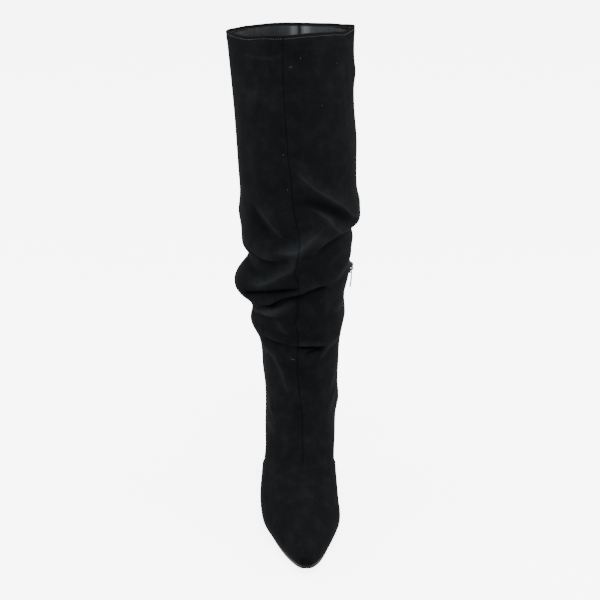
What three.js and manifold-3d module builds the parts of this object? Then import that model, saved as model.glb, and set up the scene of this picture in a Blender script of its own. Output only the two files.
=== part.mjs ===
import * as THREE from 'three';
import { mergeVertices } from 'three/addons/utils/BufferGeometryUtils.js';
import Module from 'manifold-3d';

const wasm = await Module();
wasm.setup();

// A tall slouch boot for the right foot, in millimetres.
// The toe points to -Y, the inner side with the zip to +X and the collar up.

// Foot, heel and shaft
const FOOT_LENGTH = 250;
const BALL_WIDTH = 84;
const INSTEP_HEIGHT = 116;
const COUNTER_HEIGHT = 22;
const HEEL_HEIGHT = 75;
const TOE_SPRING = 10;
const BOOT_HEIGHT = 495;
const COLLAR_WIDTH = 125.6;
const COLLAR_EAR = 6;

// Walls, sole and the clearance between curved neighbours
const WALL = 2;
const VAMP_LAP = 1.1;
const GAP = 0.3;
const SOLE_THICKNESS = 3.5;
const FEATHER_LIFT = 1.8;
const INSOLE_THICKNESS = 3;
const LASTING_MARGIN = 8;

// Folds of the slack shaft
const FOLD_DEPTH = 6;
const FOLD_BREADTH = 12;
const FOLD_SAG = 0.35;

// Heel block and its top piece
const BREAST_AT = 0.788 * FOOT_LENGTH;
const HEEL_INSET = 0.8;
const TOP_PIECE_HEIGHT = 6;
const TOP_PIECE_WIDTH = 44;
const TOP_PIECE_LENGTH = 42;
const HEEL_BACK_RAKE = 5;

// Zip of the inner side
const SLOT_WIDTH = 5.4;
const CHAIN_WIDTH = 4.4;
const CHAIN_SINK = 0.4;
const TAPE_WIDTH = 15;
const TAPE_THICKNESS = 0.8;
const TAPE_END = 4;
const ZIP_TOP = 258;
const ZIP_FOOT_CLEAR = 9;
const ZIP_TOP_AT = 0.76 * FOOT_LENGTH;
const ZIP_FOOT_AT = 0.72 * FOOT_LENGTH;

// Slider with its bail, and the pull tab that hangs in it
const SLIDER_WIDTH = 8;
const SLIDER_HEIGHT = 12;
const SLIDER_THICKNESS = 1.8;
const SLIDER_CORNER = 1.6;
const BAIL_WIDTH = 2;
const BAIL_BAR = 1.3;
const BAIL_OPENING = 4.4;
const PULL_WIDTH = 5.6;
const PULL_LENGTH = 21;
const PULL_THICKNESS = 1.1;
const PULL_CORNER = 0.9;
const PULL_EYE_WIDTH = 3;
const PULL_EYE_LENGTH = 5.4;

// Number of points around the outside and the inside of the upper
const AROUND = 34;
const AROUND_INSIDE = 22;

// The foot's middle line and toe tip from the middle of the boot's own box
const MIDLINE_X = 0.051 * COLLAR_WIDTH;
const TOE_Y = -0.51 * FOOT_LENGTH;

// Rise of the sole's top line, from the ball to the back of the heel seat
const SHANK_START = 0.38;
const SHANK_STEP = 0.08;
const SHANK_RISE = [0, 0.05, 0.21, 0.45, 0.68, 0.84, 0.925, 0.975, 1];
const FLAT_START = 0.24;

// Rows of numbers under named columns
function table(columns, rows) {
  return rows.map((row) => Object.fromEntries(columns.map((column, i) => [column, row[i]])));
}

// Sections of the foot, toe to heel back. topAt and backAt are shares of the foot length, thick of
// the instep height, lift of the counter height, centre and half of the ball width. low is the place
// of the widest level in the section and corner how square its underside is.
const FOOT_COLUMNS = ['topAt', 'thick', 'backAt', 'lift', 'centre', 'half', 'low', 'corner', 'steps'];
const FOOT_SECTIONS = table(FOOT_COLUMNS, [
  [0.008, 0.066, 0.010, 0.02, 0.070, 0.046, 0.45, 3.0, 1],
  [0.018, 0.090, 0.021, 0, 0.071, 0.080, 0.45, 3.5, 2],
  [0.048, 0.138, 0.056, 0, 0.071, 0.138, 0.43, 4.5, 2],
  [0.100, 0.194, 0.128, 0, 0.061, 0.224, 0.42, 5.5, 2],
  [0.180, 0.274, 0.248, 0, 0.038, 0.350, 0.40, 6.0, 3],
  [0.272, 0.346, 0.392, 0, 0.016, 0.465, 0.40, 6.0, 3],
  [0.344, 0.416, 0.512, 0, -0.014, 0.466, 0.42, 4.0, 3],
  [0.416, 0.512, 0.664, 0, -0.012, 0.436, 0.42, 2.8, 2],
  [0.436, 0.584, 0.732, 0, 0.000, 0.430, 0.44, 3.2, 2],
  [0.460, 0.666, 0.820, 0, 0.002, 0.442, 0.45, 4.0, 2],
  [0.488, 0.759, 0.912, 0, 0.000, 0.443, 0.46, 4.0, 2],
  [0.512, 0.849, 0.972, 0, 0.006, 0.446, 0.47, 3.0, 1],
  [0.528, 0.927, 0.995, 0.45, 0.010, 0.450, 0.48, 2.5, 1],
  [0.540, 1.000, 1.002, 1.00, 0.014, 0.456, 0.50, 2.2, 2],
]);
const VAMP_SEAM_ROW = 7;

// Sections of the shaft, ankle to collar. frontAt and backAt are shares of the foot length, frontHigh
// and backHigh of the boot height, centre and half of the collar width. pinch flattens the tube into
// a lens, and ear is how far its two corners stand up.
const SHAFT_COLUMNS = [
  'frontAt', 'frontHigh', 'backAt', 'backHigh', 'centre', 'half', 'pinch', 'ear', 'steps',
];
const SHAFT_SECTIONS = table(SHAFT_COLUMNS, [
  [0.550, 0.293, 0.988, 0.238, 0.011, 0.311, 0, 0, 2],
  [0.556, 0.319, 0.964, 0.287, 0.006, 0.317, 0, 0, 2],
  [0.556, 0.348, 0.952, 0.327, 0.000, 0.323, 0, 0, 2],
  [0.548, 0.380, 0.964, 0.372, -0.012, 0.358, 0, 0, 3],
  [0.536, 0.428, 0.984, 0.424, -0.024, 0.406, 0, 0, 4],
  [0.524, 0.495, 1.000, 0.495, -0.032, 0.430, 0, 0, 6],
  [0.516, 0.576, 1.004, 0.576, -0.024, 0.450, 0, 0, 5],
  [0.512, 0.657, 1.000, 0.657, -0.012, 0.465, 0, 0, 5],
  [0.516, 0.737, 0.988, 0.737, -0.024, 0.470, 0.1, 0, 3],
  [0.524, 0.828, 0.980, 0.828, -0.044, 0.470, 0.25, 0, 2],
  [0.536, 0.919, 0.976, 0.919, -0.064, 0.482, 0.5, 0.2, 2],
  [0.544, 0.990, 0.980, 0.997, -0.076, 0.500, 0.75, 1, 0],
]);

// Folds of the shaft, seen from the front: side is the bearing of the middle in degrees (0 front,
// 90 inner side), high and climb are shares of the boot height, reach is the half span in degrees,
// push a share of the fold depth (rolls out, creases in) and broad of the fold breadth.
const FOLD_COLUMNS = ['side', 'high', 'climb', 'reach', 'push', 'broad'];
const FOLDS = table(FOLD_COLUMNS, [
  [35, 0.657, -0.044, 75, -0.6, 0.95],
  [85, 0.600, 0.000, 60, -0.8, 0.95],
  [-45, 0.642, -0.057, 45, -0.55, 0.95],
  [-80, 0.540, 0.016, 75, -1.3, 1.0],
  [-48, 0.447, 0.056, 105, -1.25, 0.95],
  [-30, 0.372, 0.008, 90, -0.45, 0.95],
  [80, 0.452, -0.020, 65, -0.65, 1.8],
  [180, 0.606, 0.024, 90, -0.8, 1.1],
  [165, 0.505, -0.020, 95, -1.0, 1.1],
  [190, 0.414, 0.012, 90, -0.8, 1.0],
  [150, 0.687, -0.030, 70, -0.6, 1.0],
  [85, 0.634, 0.000, 55, 0.85, 1.4],
  [-90, 0.485, 0.000, 60, 1.9, 2.0],
  [-85, 0.388, 0.000, 55, 0.35, 1.2],
  [180, 0.556, 0.010, 80, 0.5, 1.5],
  [180, 0.460, -0.010, 80, 0.6, 1.5],
]);

const SUEDE = new THREE.MeshStandardMaterial({ color: 0x1c1d1f, roughness: 0.95, metalness: 0 });
const SOLE_RUBBER = new THREE.MeshStandardMaterial({ color: 0x141414, roughness: 0.6, metalness: 0 });
const SOCK = new THREE.MeshStandardMaterial({ color: 0x2a2a2b, roughness: 0.7, metalness: 0 });
const TAPE = new THREE.MeshStandardMaterial({ color: 0x17171a, roughness: 0.8, metalness: 0 });
const BLACK_METAL = new THREE.MeshStandardMaterial({ color: 0x1b1c1f, roughness: 0.35, metalness: 0.9 });
const STEEL = new THREE.MeshStandardMaterial({ color: 0x9a9c9f, roughness: 0.3, metalness: 1 });

// Smooth value between b and c that never overshoots the table
function ease(a, b, c, d, t) {
  const slope = (p, q, r) => {
    const before = q - p;
    const after = r - q;
    return before * after <= 0 ? 0 : (2 * before * after) / (before + after);
  };
  const start = slope(a, b, c);
  const end = slope(b, c, d);
  const t2 = t * t;
  const t3 = t2 * t;
  return (2 * t3 - 3 * t2 + 1) * b + (t3 - 2 * t2 + t) * start
    + (3 * t2 - 2 * t3) * c + (t3 - t2) * end;
}

function fromTable(values, place) {
  const last = values.length - 1;
  const at = Math.min(Math.max(place, 0), last);
  const i = Math.min(Math.floor(at), last - 1);
  const before = values[Math.max(i - 1, 0)];
  const after = values[Math.min(i + 2, last)];
  return ease(before, values[i], values[i + 1], after, at - i);
}

// Height of the upper's underside above the floor, at a distance behind the toe tip
function soleLine(s) {
  const share = s / FOOT_LENGTH;
  const spring = TOE_SPRING * Math.max(1 - share / FLAT_START, 0) ** 2;
  const rise = (HEEL_HEIGHT - SOLE_THICKNESS) * fromTable(SHANK_RISE, (share - SHANK_START) / SHANK_STEP);
  return GAP + SOLE_THICKNESS + spring + rise;
}

// One section in real sizes: its top or front point, its bottom or back point and its form
function footSection(row) {
  const topS = row.topAt * FOOT_LENGTH;
  const backS = row.backAt * FOOT_LENGTH;
  return {
    topS,
    topZ: soleLine(topS) + row.thick * INSTEP_HEIGHT,
    backS,
    backZ: soleLine(backS) + row.lift * COUNTER_HEIGHT,
    centre: row.centre * BALL_WIDTH,
    half: row.half * BALL_WIDTH,
    low: row.low,
    corner: row.corner,
    pinch: 0,
    ear: 0,
  };
}

function shaftSection(row) {
  return {
    topS: row.frontAt * FOOT_LENGTH,
    topZ: row.frontHigh * BOOT_HEIGHT,
    backS: row.backAt * FOOT_LENGTH,
    backZ: row.backHigh * BOOT_HEIGHT,
    centre: row.centre * COLLAR_WIDTH,
    half: row.half * COLLAR_WIDTH,
    low: 0.5,
    corner: 2,
    pinch: row.pinch,
    ear: row.ear * COLLAR_EAR,
  };
}

// All sections with the ones between them; the vamp's edge has two, one on each side of its step
const STEP_SHARE = 0.12;
const stations = [...FOOT_SECTIONS.map(footSection), ...SHAFT_SECTIONS.map(shaftSection)];
const stepCounts = [...FOOT_SECTIONS, ...SHAFT_SECTIONS].map((row) => row.steps);

function sectionAt(place) {
  const section = {};
  for (const key of Object.keys(stations[0])) {
    section[key] = fromTable(stations.map((station) => station[key]), place);
  }
  // The underside keeps to the sole's line between the table's rows
  if (place < FOOT_SECTIONS.length - 3) section.backZ = soleLine(section.backS);
  return { ...section, place };
}

const places = [];
stations.forEach((station, i) => {
  for (let k = 0; k < stepCounts[i]; k += 1) places.push(i + k / stepCounts[i]);
  if (i === VAMP_SEAM_ROW) places.splice(places.length - stepCounts[i] + 1, 0, i + STEP_SHARE);
});
places.push(stations.length - 1);
const sections = places.map(sectionAt);

const degrees = (radians) => (radians * 180) / Math.PI;

// How far the folds move the skin out at a bearing and height
function foldPush(bearing, z) {
  let out = 0;
  let down = 0;
  for (const fold of FOLDS) {
    const turn = ((bearing - fold.side + 540) % 360) - 180;
    const along = turn / fold.reach;
    if (Math.abs(along) >= 1) continue;
    const middle = (fold.high + fold.climb * along) * BOOT_HEIGHT;
    const across = (z - middle) / (fold.broad * FOLD_BREADTH);
    if (Math.abs(across) >= 1) continue;
    const window = Math.cos((Math.PI / 2) * along) ** 2;
    const push = fold.push * FOLD_DEPTH * window * (1 - across * across) ** 2;
    out += push;
    if (push > 0) down += push * FOLD_SAG;
  }
  return { out, down };
}

const power = (value, exponent) => Math.sign(value) * Math.abs(value) ** exponent;

// Point of the skin at a share of a turn around a section: 0 is top or front, 0.25 the inner side
function skinPoint(section, turn) {
  const angle = 2 * Math.PI * turn;
  const sin = Math.sin(angle);
  const cos = Math.cos(angle);
  const back = cos < 0;
  const exponent = back ? 2 / section.corner : 1;
  const side = power(sin, exponent);
  const along = power(cos, exponent * (1 + section.pinch));
  const share = along > 0 ? section.low + along * (1 - section.low) : section.low * (1 + along);
  const s = section.backS + (section.topS - section.backS) * share;
  let z = section.backZ + (section.topZ - section.backZ) * share;
  z += section.ear * Math.abs(sin) ** 5 * (0.8 + 0.2 * sin);
  const fold = foldPush(degrees(angle), z);
  const x = MIDLINE_X + section.centre + section.half * side + fold.out * sin;
  return new THREE.Vector3(x, TOE_Y + s - fold.out * cos, z - fold.down);
}

// The skin as rows of points, moved out by a distance along its own normal
function skinRows(around, distanceAt) {
  const base = sections.map((section) => {
    const row = [];
    for (let j = 0; j < around; j += 1) row.push(skinPoint(section, j / around));
    return row;
  });
  const last = base.length - 1;
  return base.map((row, i) => row.map((point, j) => {
    const distance = distanceAt(sections[i], j / around);
    if (distance === 0) return point.clone();
    const across = row[(j + 1) % around].clone().sub(row[(j + around - 1) % around]);
    const up = base[Math.min(i + 1, last)][j].clone().sub(base[Math.max(i - 1, 0)][j]);
    return point.clone().addScaledVector(across.cross(up).normalize(), distance);
  }));
}

// Closed solid from rows of points that each go once around it
function solidFromRows(rows, start, end) {
  const around = rows[0].length;
  const points = [...rows.flat(), start, end];
  const startAt = rows.length * around;
  const index = [];
  for (let i = 0; i + 1 < rows.length; i += 1) {
    for (let j = 0; j < around; j += 1) {
      const next = (j + 1) % around;
      const a = i * around + j;
      const b = i * around + next;
      const c = (i + 1) * around + next;
      const d = (i + 1) * around + j;
      index.push(a, b, c, a, c, d);
    }
  }
  const top = (rows.length - 1) * around;
  for (let j = 0; j < around; j += 1) {
    const next = (j + 1) % around;
    index.push(startAt, next, j, startAt + 1, top + j, top + next);
  }
  return new wasm.Manifold(new wasm.Mesh({
    numProp: 3,
    vertProperties: new Float32Array(points.flatMap((point) => [point.x, point.y, point.z])),
    triVerts: new Uint32Array(index),
  }));
}

function middleOf(row) {
  const sum = row.reduce((total, point) => total.add(point), new THREE.Vector3());
  return sum.divideScalar(row.length);
}

// The whole boot form, filled, at a distance outside (+) or inside (-) the skin. Its tip stands a
// little in front of the first row, and an open form runs on above the collar.
const TIP_ROUND = 0.5;
const CHIMNEY = 12;
function bootForm(around, distance, open) {
  const rows = skinRows(around, distance);
  if (open) rows.push(rows[rows.length - 1].map((point) => point.clone().setZ(point.z + CHIMNEY)));
  const tip = middleOf(rows[0]);
  tip.y -= TIP_ROUND;
  return solidFromRows(rows, tip, middleOf(rows[rows.length - 1]));
}

function solidFrom(geometry) {
  const bare = geometry.clone();
  bare.deleteAttribute('normal');
  bare.deleteAttribute('uv');
  const merged = mergeVertices(bare, 1e-4);
  return new wasm.Manifold(new wasm.Mesh({
    numProp: 3,
    vertProperties: new Float32Array(merged.attributes.position.array),
    triVerts: new Uint32Array(merged.index.array),
  }));
}

function meshOf(name, solid, material) {
  const mesh = solid.getMesh();
  const geometry = new THREE.BufferGeometry();
  geometry.setAttribute('position', new THREE.BufferAttribute(new Float32Array(mesh.vertProperties), 3));
  geometry.setIndex(new THREE.BufferAttribute(new Uint32Array(mesh.triVerts), 1));
  geometry.computeVertexNormals();
  const piece = new THREE.Mesh(geometry, material);
  piece.name = name;
  return piece;
}

// Outline in the side view, pushed across the boot from one x to another
const SIDE_VIEW = new THREE.Matrix4().makeBasis(
  new THREE.Vector3(0, 1, 0),
  new THREE.Vector3(0, 0, 1),
  new THREE.Vector3(1, 0, 0),
);
function sideBand(outline, fromX, toX) {
  const shape = new THREE.Shape(outline.map(([s, z]) => new THREE.Vector2(TOE_Y + s, z)));
  const geometry = new THREE.ExtrudeGeometry(shape, { depth: toX - fromX, bevelEnabled: false });
  geometry.applyMatrix4(SIDE_VIEW);
  geometry.translate(fromX, 0, 0);
  return solidFrom(geometry);
}

// Part of each section's underside that lies within the feather lift: the sole's own rows
const UNDERSIDE_POINTS = 8;
function undersideRow(section) {
  const clear = (turn) => {
    const point = skinPoint(section, turn);
    return point.z - soleLine(point.y - TOE_Y);
  };
  const edge = (towards) => {
    let near = 0.5;
    let far = 0.5 + 0.25 * towards;
    for (let k = 0; k < 24; k += 1) {
      const middle = (near + far) / 2;
      if (clear(middle) < FEATHER_LIFT) near = middle;
      else far = middle;
    }
    return near;
  };
  const from = edge(-1);
  const to = edge(1);
  const row = [];
  for (let k = 0; k <= UNDERSIDE_POINTS; k += 1) {
    const wide = Math.cos((Math.PI * k) / UNDERSIDE_POINTS);
    const angle = wide > 0 ? 0.5 - (0.5 - from) * wide ** 2 : 0.5 + (to - 0.5) * wide ** 2;
    row.push(skinPoint(section, angle));
  }
  return row;
}

const soleSections = sections.filter((section) => section.backZ - soleLine(section.backS) < FEATHER_LIFT);
const undersides = soleSections.map(undersideRow);

// A plate that follows the sole's line, drawn in from its edge, from one height above it to another
function plate(inset, top, bottom) {
  const loops = [];
  for (const row of undersides) {
    const middle = row[UNDERSIDE_POINTS / 2];
    const half = (row[0].x - row[UNDERSIDE_POINTS].x) / 2;
    if (half < inset * 1.6) continue;
    const keep = 1 - inset / half;
    const drawn = row.map((point) => new THREE.Vector2(
      middle.x + (point.x - middle.x) * keep,
      middle.y + (point.y - middle.y) * keep,
    ));
    const at = (point, height) => new THREE.Vector3(point.x, point.y, soleLine(point.y - TOE_Y) + height);
    const upper = drawn.map((point) => at(point, top)).reverse();
    const lower = drawn.map((point) => at(point, bottom));
    loops.push([...upper, ...lower]);
  }
  return solidFromRows(loops, middleOf(loops[0]), middleOf(loops[loops.length - 1]));
}

// Insole and upper

const lapAt = (section, turn) => {
  if (section.place > VAMP_SEAM_ROW + STEP_SHARE / 2) return 0;
  const fromBottom = Math.abs(turn - 0.5);
  return VAMP_LAP * THREE.MathUtils.smoothstep(fromBottom, 0.1, 0.18);
};
const outside = bootForm(AROUND, lapAt, false);
const inside = bootForm(AROUND_INSIDE, () => -WALL, true);
const insideClear = bootForm(AROUND_INSIDE, () => -WALL - GAP, true);
const tapeBack = bootForm(AROUND_INSIDE, () => -WALL - GAP - TAPE_THICKNESS, true);
const underOpening = plate(LASTING_MARGIN, WALL + GAP, -SOLE_THICKNESS);

// The zip's line in the side view, from its foot to its top
const ZIP_POINTS = 9;
const insoleTop = (s) => soleLine(s) + WALL + GAP + INSOLE_THICKNESS;
const ZIP_FOOT = insoleTop(ZIP_FOOT_AT + TAPE_WIDTH / 2) + ZIP_FOOT_CLEAR;
function zipBand(width, footExtra, topExtra) {
  const left = [];
  const right = [];
  for (let k = 0; k < ZIP_POINTS; k += 1) {
    const share = k / (ZIP_POINTS - 1);
    const bend = 1 - (1 - share) ** 2;
    const s = ZIP_FOOT_AT + (ZIP_TOP_AT - ZIP_FOOT_AT) * bend;
    const z = ZIP_FOOT - footExtra + (ZIP_TOP + topExtra - ZIP_FOOT + footExtra) * share;
    left.push([s - width / 2, z]);
    right.push([s + width / 2, z]);
  }
  return sideBand([...right, ...left.reverse()], MIDLINE_X + 0.15 * BALL_WIDTH, MIDLINE_X + BALL_WIDTH);
}
const slot = zipBand(SLOT_WIDTH, 0, 0);
const tapeBand = zipBand(TAPE_WIDTH, TAPE_END, TAPE_END);
const chainBand = zipBand(CHAIN_WIDTH, -GAP, -GAP);

const upper = outside.subtract(inside).subtract(underOpening).subtract(slot);

const soleLineBand = [];
const BAND_POINTS = 44;
for (let k = 0; k <= BAND_POINTS; k += 1) {
  const s = (FOOT_LENGTH * k) / BAND_POINTS;
  soleLineBand.push([s, soleLine(s) + WALL + GAP]);
}
const insoleOutline = [
  ...soleLineBand,
  ...soleLineBand.map(([s, z]) => [s, z + INSOLE_THICKNESS]).reverse(),
];
const insole = insideClear.intersect(sideBand(insoleOutline, MIDLINE_X - BALL_WIDTH, MIDLINE_X + BALL_WIDTH));

// Zip tape with its chain

const chainFace = bootForm(AROUND_INSIDE, () => -CHAIN_SINK, true);
const tape = insideClear.subtract(tapeBack).intersect(tapeBand);
const chain = chainFace.subtract(tapeBack).intersect(chainBand);
const zip = tape.add(chain);

// Outsole, heel and top piece

const outsole = plate(0, -GAP, -GAP - SOLE_THICKNESS);

// Outline of the heel seat from the breast backwards and round to the breast again
const heelSide = (edge) => undersides
  .map((row) => row[edge])
  .filter((point) => point.y - TOE_Y > BREAST_AT);
const seatBack = undersides[undersides.length - 1];
const breastAcross = 5;
function seatOutline() {
  const inner = heelSide(0);
  const outer = heelSide(UNDERSIDE_POINTS);
  const back = seatBack.slice(1, UNDERSIDE_POINTS);
  const loop = [...inner, ...back, ...outer.reverse()];
  const breastY = TOE_Y + BREAST_AT;
  const first = loop[0].x;
  const last = loop[loop.length - 1].x;
  for (let k = 0; k <= breastAcross; k += 1) {
    loop.push(new THREE.Vector3(last + (first - last) * (k / breastAcross), breastY, 0));
  }
  const middle = middleOf(loop);
  return loop.map((point) => {
    const inward = middle.clone().sub(point).setZ(0).normalize();
    return new THREE.Vector2(point.x + inward.x * HEEL_INSET, point.y + inward.y * HEEL_INSET);
  });
}
const seat = seatOutline();
const seatBox = new THREE.Box2().setFromPoints(seat);
const seatSize = seatBox.getSize(new THREE.Vector2());
const topPieceBack = seatBox.max.y - HEEL_BACK_RAKE;
const seatMiddleX = (seatBox.min.x + seatBox.max.x) / 2;
const footPrint = seat.map((point) => new THREE.Vector2(
  seatMiddleX + ((point.x - seatMiddleX) * TOP_PIECE_WIDTH) / seatSize.x,
  topPieceBack - ((seatBox.max.y - point.y) * TOP_PIECE_LENGTH) / seatSize.y,
));

const HEEL_LEVELS = 6;
const levels = [];
for (let k = 0; k <= HEEL_LEVELS; k += 1) {
  const up = k / HEEL_LEVELS;
  const flare = up ** 2.2;
  levels.push(seat.map((point, j) => {
    const ground = footPrint[j];
    const x = ground.x + (point.x - ground.x) * flare;
    const y = ground.y + (point.y - ground.y) * flare;
    const ceiling = soleLine(point.y - TOE_Y) - SOLE_THICKNESS - 2 * GAP;
    const floor = TOP_PIECE_HEIGHT + GAP;
    return new THREE.Vector3(x, y, floor + (ceiling - floor) * up);
  }));
}
const heel = solidFromRows(levels, middleOf(levels[0]), middleOf(levels[HEEL_LEVELS]));

const treadRow = footPrint.map((point) => new THREE.Vector3(point.x, point.y, 0));
const topRow = footPrint.map((point) => new THREE.Vector3(point.x, point.y, TOP_PIECE_HEIGHT));
const topPiece = solidFromRows([treadRow, topRow], middleOf(treadRow), middleOf(topRow));

// Slider with its bail, seated on the chain at the top of the zip

const sliderMiddleZ = ZIP_TOP - SLIDER_HEIGHT / 2;
function skinAt(section, s) {
  let front = 0;
  let back = 0.5;
  for (let k = 0; k < 24; k += 1) {
    const middle = (front + back) / 2;
    if (skinPoint(section, middle).y < TOE_Y + s) front = middle;
    else back = middle;
  }
  return skinPoint(section, front);
}
const zipSkin = sections
  .filter((section) => Math.abs(section.topZ - sliderMiddleZ) < SLIDER_HEIGHT * 0.6)
  .map((section) => skinAt(section, ZIP_TOP_AT));
const sliderBackX = Math.max(...zipSkin.map((point) => point.x)) + GAP;
const sliderFaceX = sliderBackX + SLIDER_THICKNESS;
const zipY = TOE_Y + ZIP_TOP_AT;

function block(width, depth, height, x, y, z) {
  const geometry = new THREE.BoxGeometry(width, depth, height);
  geometry.translate(x, y, z);
  return solidFrom(geometry);
}

// Plate with cut corners, drawn in the side view about the zip's line
function tabOutline(width, top, bottom, cut) {
  const w = width / 2;
  return [
    [-w + cut, bottom], [w - cut, bottom], [w, bottom + cut], [w, top - cut],
    [w - cut, top], [-w + cut, top], [-w, top - cut], [-w, bottom + cut],
  ].map(([s, z]) => [ZIP_TOP_AT + s, z]);
}
const pivotX = sliderFaceX + GAP + PULL_THICKNESS / 2;
const bailInnerX = pivotX + PULL_THICKNESS / 2 + GAP;
const bailLowZ = sliderMiddleZ - BAIL_OPENING / 2;
const bailHighZ = sliderMiddleZ + BAIL_OPENING / 2;
const bailDepth = bailInnerX + BAIL_BAR - sliderFaceX;
const bailX = sliderFaceX + bailDepth / 2;
const legAt = (z) => block(bailDepth + GAP, BAIL_WIDTH, BAIL_BAR, bailX - GAP / 2, zipY, z);
const bailFace = block(
  BAIL_BAR, BAIL_WIDTH, BAIL_OPENING + 2 * BAIL_BAR,
  bailInnerX + BAIL_BAR / 2, zipY, sliderMiddleZ,
);
const sliderPlate = sideBand(
  tabOutline(SLIDER_WIDTH, ZIP_TOP, ZIP_TOP - SLIDER_HEIGHT, SLIDER_CORNER),
  sliderBackX,
  sliderFaceX,
);
const slider = sliderPlate
  .add(legAt(bailHighZ + BAIL_BAR / 2))
  .add(legAt(bailLowZ - BAIL_BAR / 2))
  .add(bailFace);

// Pull tab: its eye's top bar lies in the bail and rests just above the lower leg
const pivotZ = bailLowZ + GAP + PULL_THICKNESS / 2;
const pullTop = pivotZ + PULL_THICKNESS / 2;
const pullPlate = sideBand(
  tabOutline(PULL_WIDTH, pullTop, pullTop - PULL_LENGTH, PULL_CORNER),
  pivotX - PULL_THICKNESS / 2,
  pivotX + PULL_THICKNESS / 2,
);
const eye = block(
  3 * PULL_THICKNESS, PULL_EYE_WIDTH, PULL_EYE_LENGTH,
  pivotX, zipY, pivotZ - PULL_THICKNESS / 2 - PULL_EYE_LENGTH / 2,
);
const pull = pullPlate.subtract(eye);

const boot = new THREE.Group();
boot.add(
  meshOf('upper', upper, SUEDE),
  meshOf('insole', insole, SOCK),
  meshOf('outsole', outsole, SOLE_RUBBER),
  meshOf('heel', heel, SUEDE),
  meshOf('heel_top_piece', topPiece, SOLE_RUBBER),
  meshOf('zip_tape', zip, TAPE),
  meshOf('zip_slider', slider, BLACK_METAL),
  meshOf('zip_pull', pull, STEEL),
);

export default boot;
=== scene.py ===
import math

import bpy
import numpy as np
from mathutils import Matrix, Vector
from mathutils.bvhtree import BVHTree

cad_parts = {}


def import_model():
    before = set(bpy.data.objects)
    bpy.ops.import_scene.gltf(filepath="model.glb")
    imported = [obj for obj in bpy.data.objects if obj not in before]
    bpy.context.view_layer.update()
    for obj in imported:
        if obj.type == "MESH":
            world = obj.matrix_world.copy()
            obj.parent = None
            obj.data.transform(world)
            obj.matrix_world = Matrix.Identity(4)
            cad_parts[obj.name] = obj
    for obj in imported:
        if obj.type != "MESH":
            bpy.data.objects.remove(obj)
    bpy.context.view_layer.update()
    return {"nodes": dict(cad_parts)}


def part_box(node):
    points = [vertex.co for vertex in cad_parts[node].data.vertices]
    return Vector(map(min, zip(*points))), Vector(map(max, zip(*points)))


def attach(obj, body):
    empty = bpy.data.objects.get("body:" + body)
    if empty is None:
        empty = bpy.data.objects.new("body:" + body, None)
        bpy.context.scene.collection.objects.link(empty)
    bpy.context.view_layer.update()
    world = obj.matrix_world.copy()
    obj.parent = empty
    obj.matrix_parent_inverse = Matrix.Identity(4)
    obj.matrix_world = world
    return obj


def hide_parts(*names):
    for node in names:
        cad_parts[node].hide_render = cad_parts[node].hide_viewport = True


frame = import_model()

MM = 0.001

# Camera. The photograph looks down on the boot from straight in front of its toe. The lens and the
# distance follow from the boot's height in the picture and the slant of the foot below it.
IMAGE_PIXELS = 600
FOCAL_PIXELS = 1229
SENSOR_WIDTH = 36
CAMERA_PITCH_DEG = 20.6
CAMERA_AHEAD_OF_TOE = 1.016
CAMERA_HEIGHT = 0.668
MIDLINE_X = 6.4 * MM

upper_low, upper_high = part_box("upper")
toe_y = upper_low.y
bpy.ops.object.camera_add(
    location=(MIDLINE_X, toe_y - CAMERA_AHEAD_OF_TOE, CAMERA_HEIGHT),
    rotation=(math.radians(90 - CAMERA_PITCH_DEG), 0, 0),
)
camera = bpy.context.object
camera.data.sensor_width = SENSOR_WIDTH
camera.data.lens = FOCAL_PIXELS / IMAGE_PIXELS * SENSOR_WIDTH
bpy.context.scene.camera = camera


# Floor and light. A seamless, brightly lit white sweep, as in a packshot: one wide soft source above the
# front, a weaker one at each side, and an even white surround. The sweep itself throws no light back.
def shade(hexadecimal):
    """An sRGB colour such as #1c1d20, as the linear values that a shader takes."""
    parts = [int(hexadecimal[i:i + 2], 16) / 255 for i in (1, 3, 5)]
    return [p / 12.92 if p <= 0.04045 else ((p + 0.055) / 1.055) ** 2.4 for p in parts] + [1.0]


def new_material(name, sockets):
    """A material with its node tree and its surface, whose sockets take what is the same all over."""
    material = bpy.data.materials.new(name)
    material.use_nodes = True
    surface = material.node_tree.nodes["Principled BSDF"]
    for socket, value in sockets.items():
        surface.inputs[socket].default_value = value
    return material, material.node_tree, surface


def add(tree, kind, sockets=None, **settings):
    """Adds a node with its settings, and sets or links its sockets."""
    made = tree.nodes.new(kind)
    for name, value in settings.items():
        setattr(made, name, value)
    for socket, value in (sockets or {}).items():
        if isinstance(value, bpy.types.NodeSocket):
            tree.links.new(value, made.inputs[socket])
        else:
            made.inputs[socket].default_value = value
    return made


def mix_colours(tree, factor, first, second):
    """A colour that goes from the first to the second as the factor goes from 0 to 1."""
    mixed = add(tree, "ShaderNodeMix", {"Factor": factor, 6: first, 7: second}, data_type="RGBA")
    return mixed.outputs[2]


def add_bump(tree, surface, height, strength, distance, under_it=None):
    """Fine relief on a surface, over another relief where there is one."""
    sockets = {"Height": height, "Strength": strength, "Distance": distance}
    if under_it:
        sockets["Normal"] = under_it
    bump = add(tree, "ShaderNodeBump", sockets)
    tree.links.new(bump.outputs["Normal"], surface.inputs["Normal"])
    return bump.outputs["Normal"]


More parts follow.
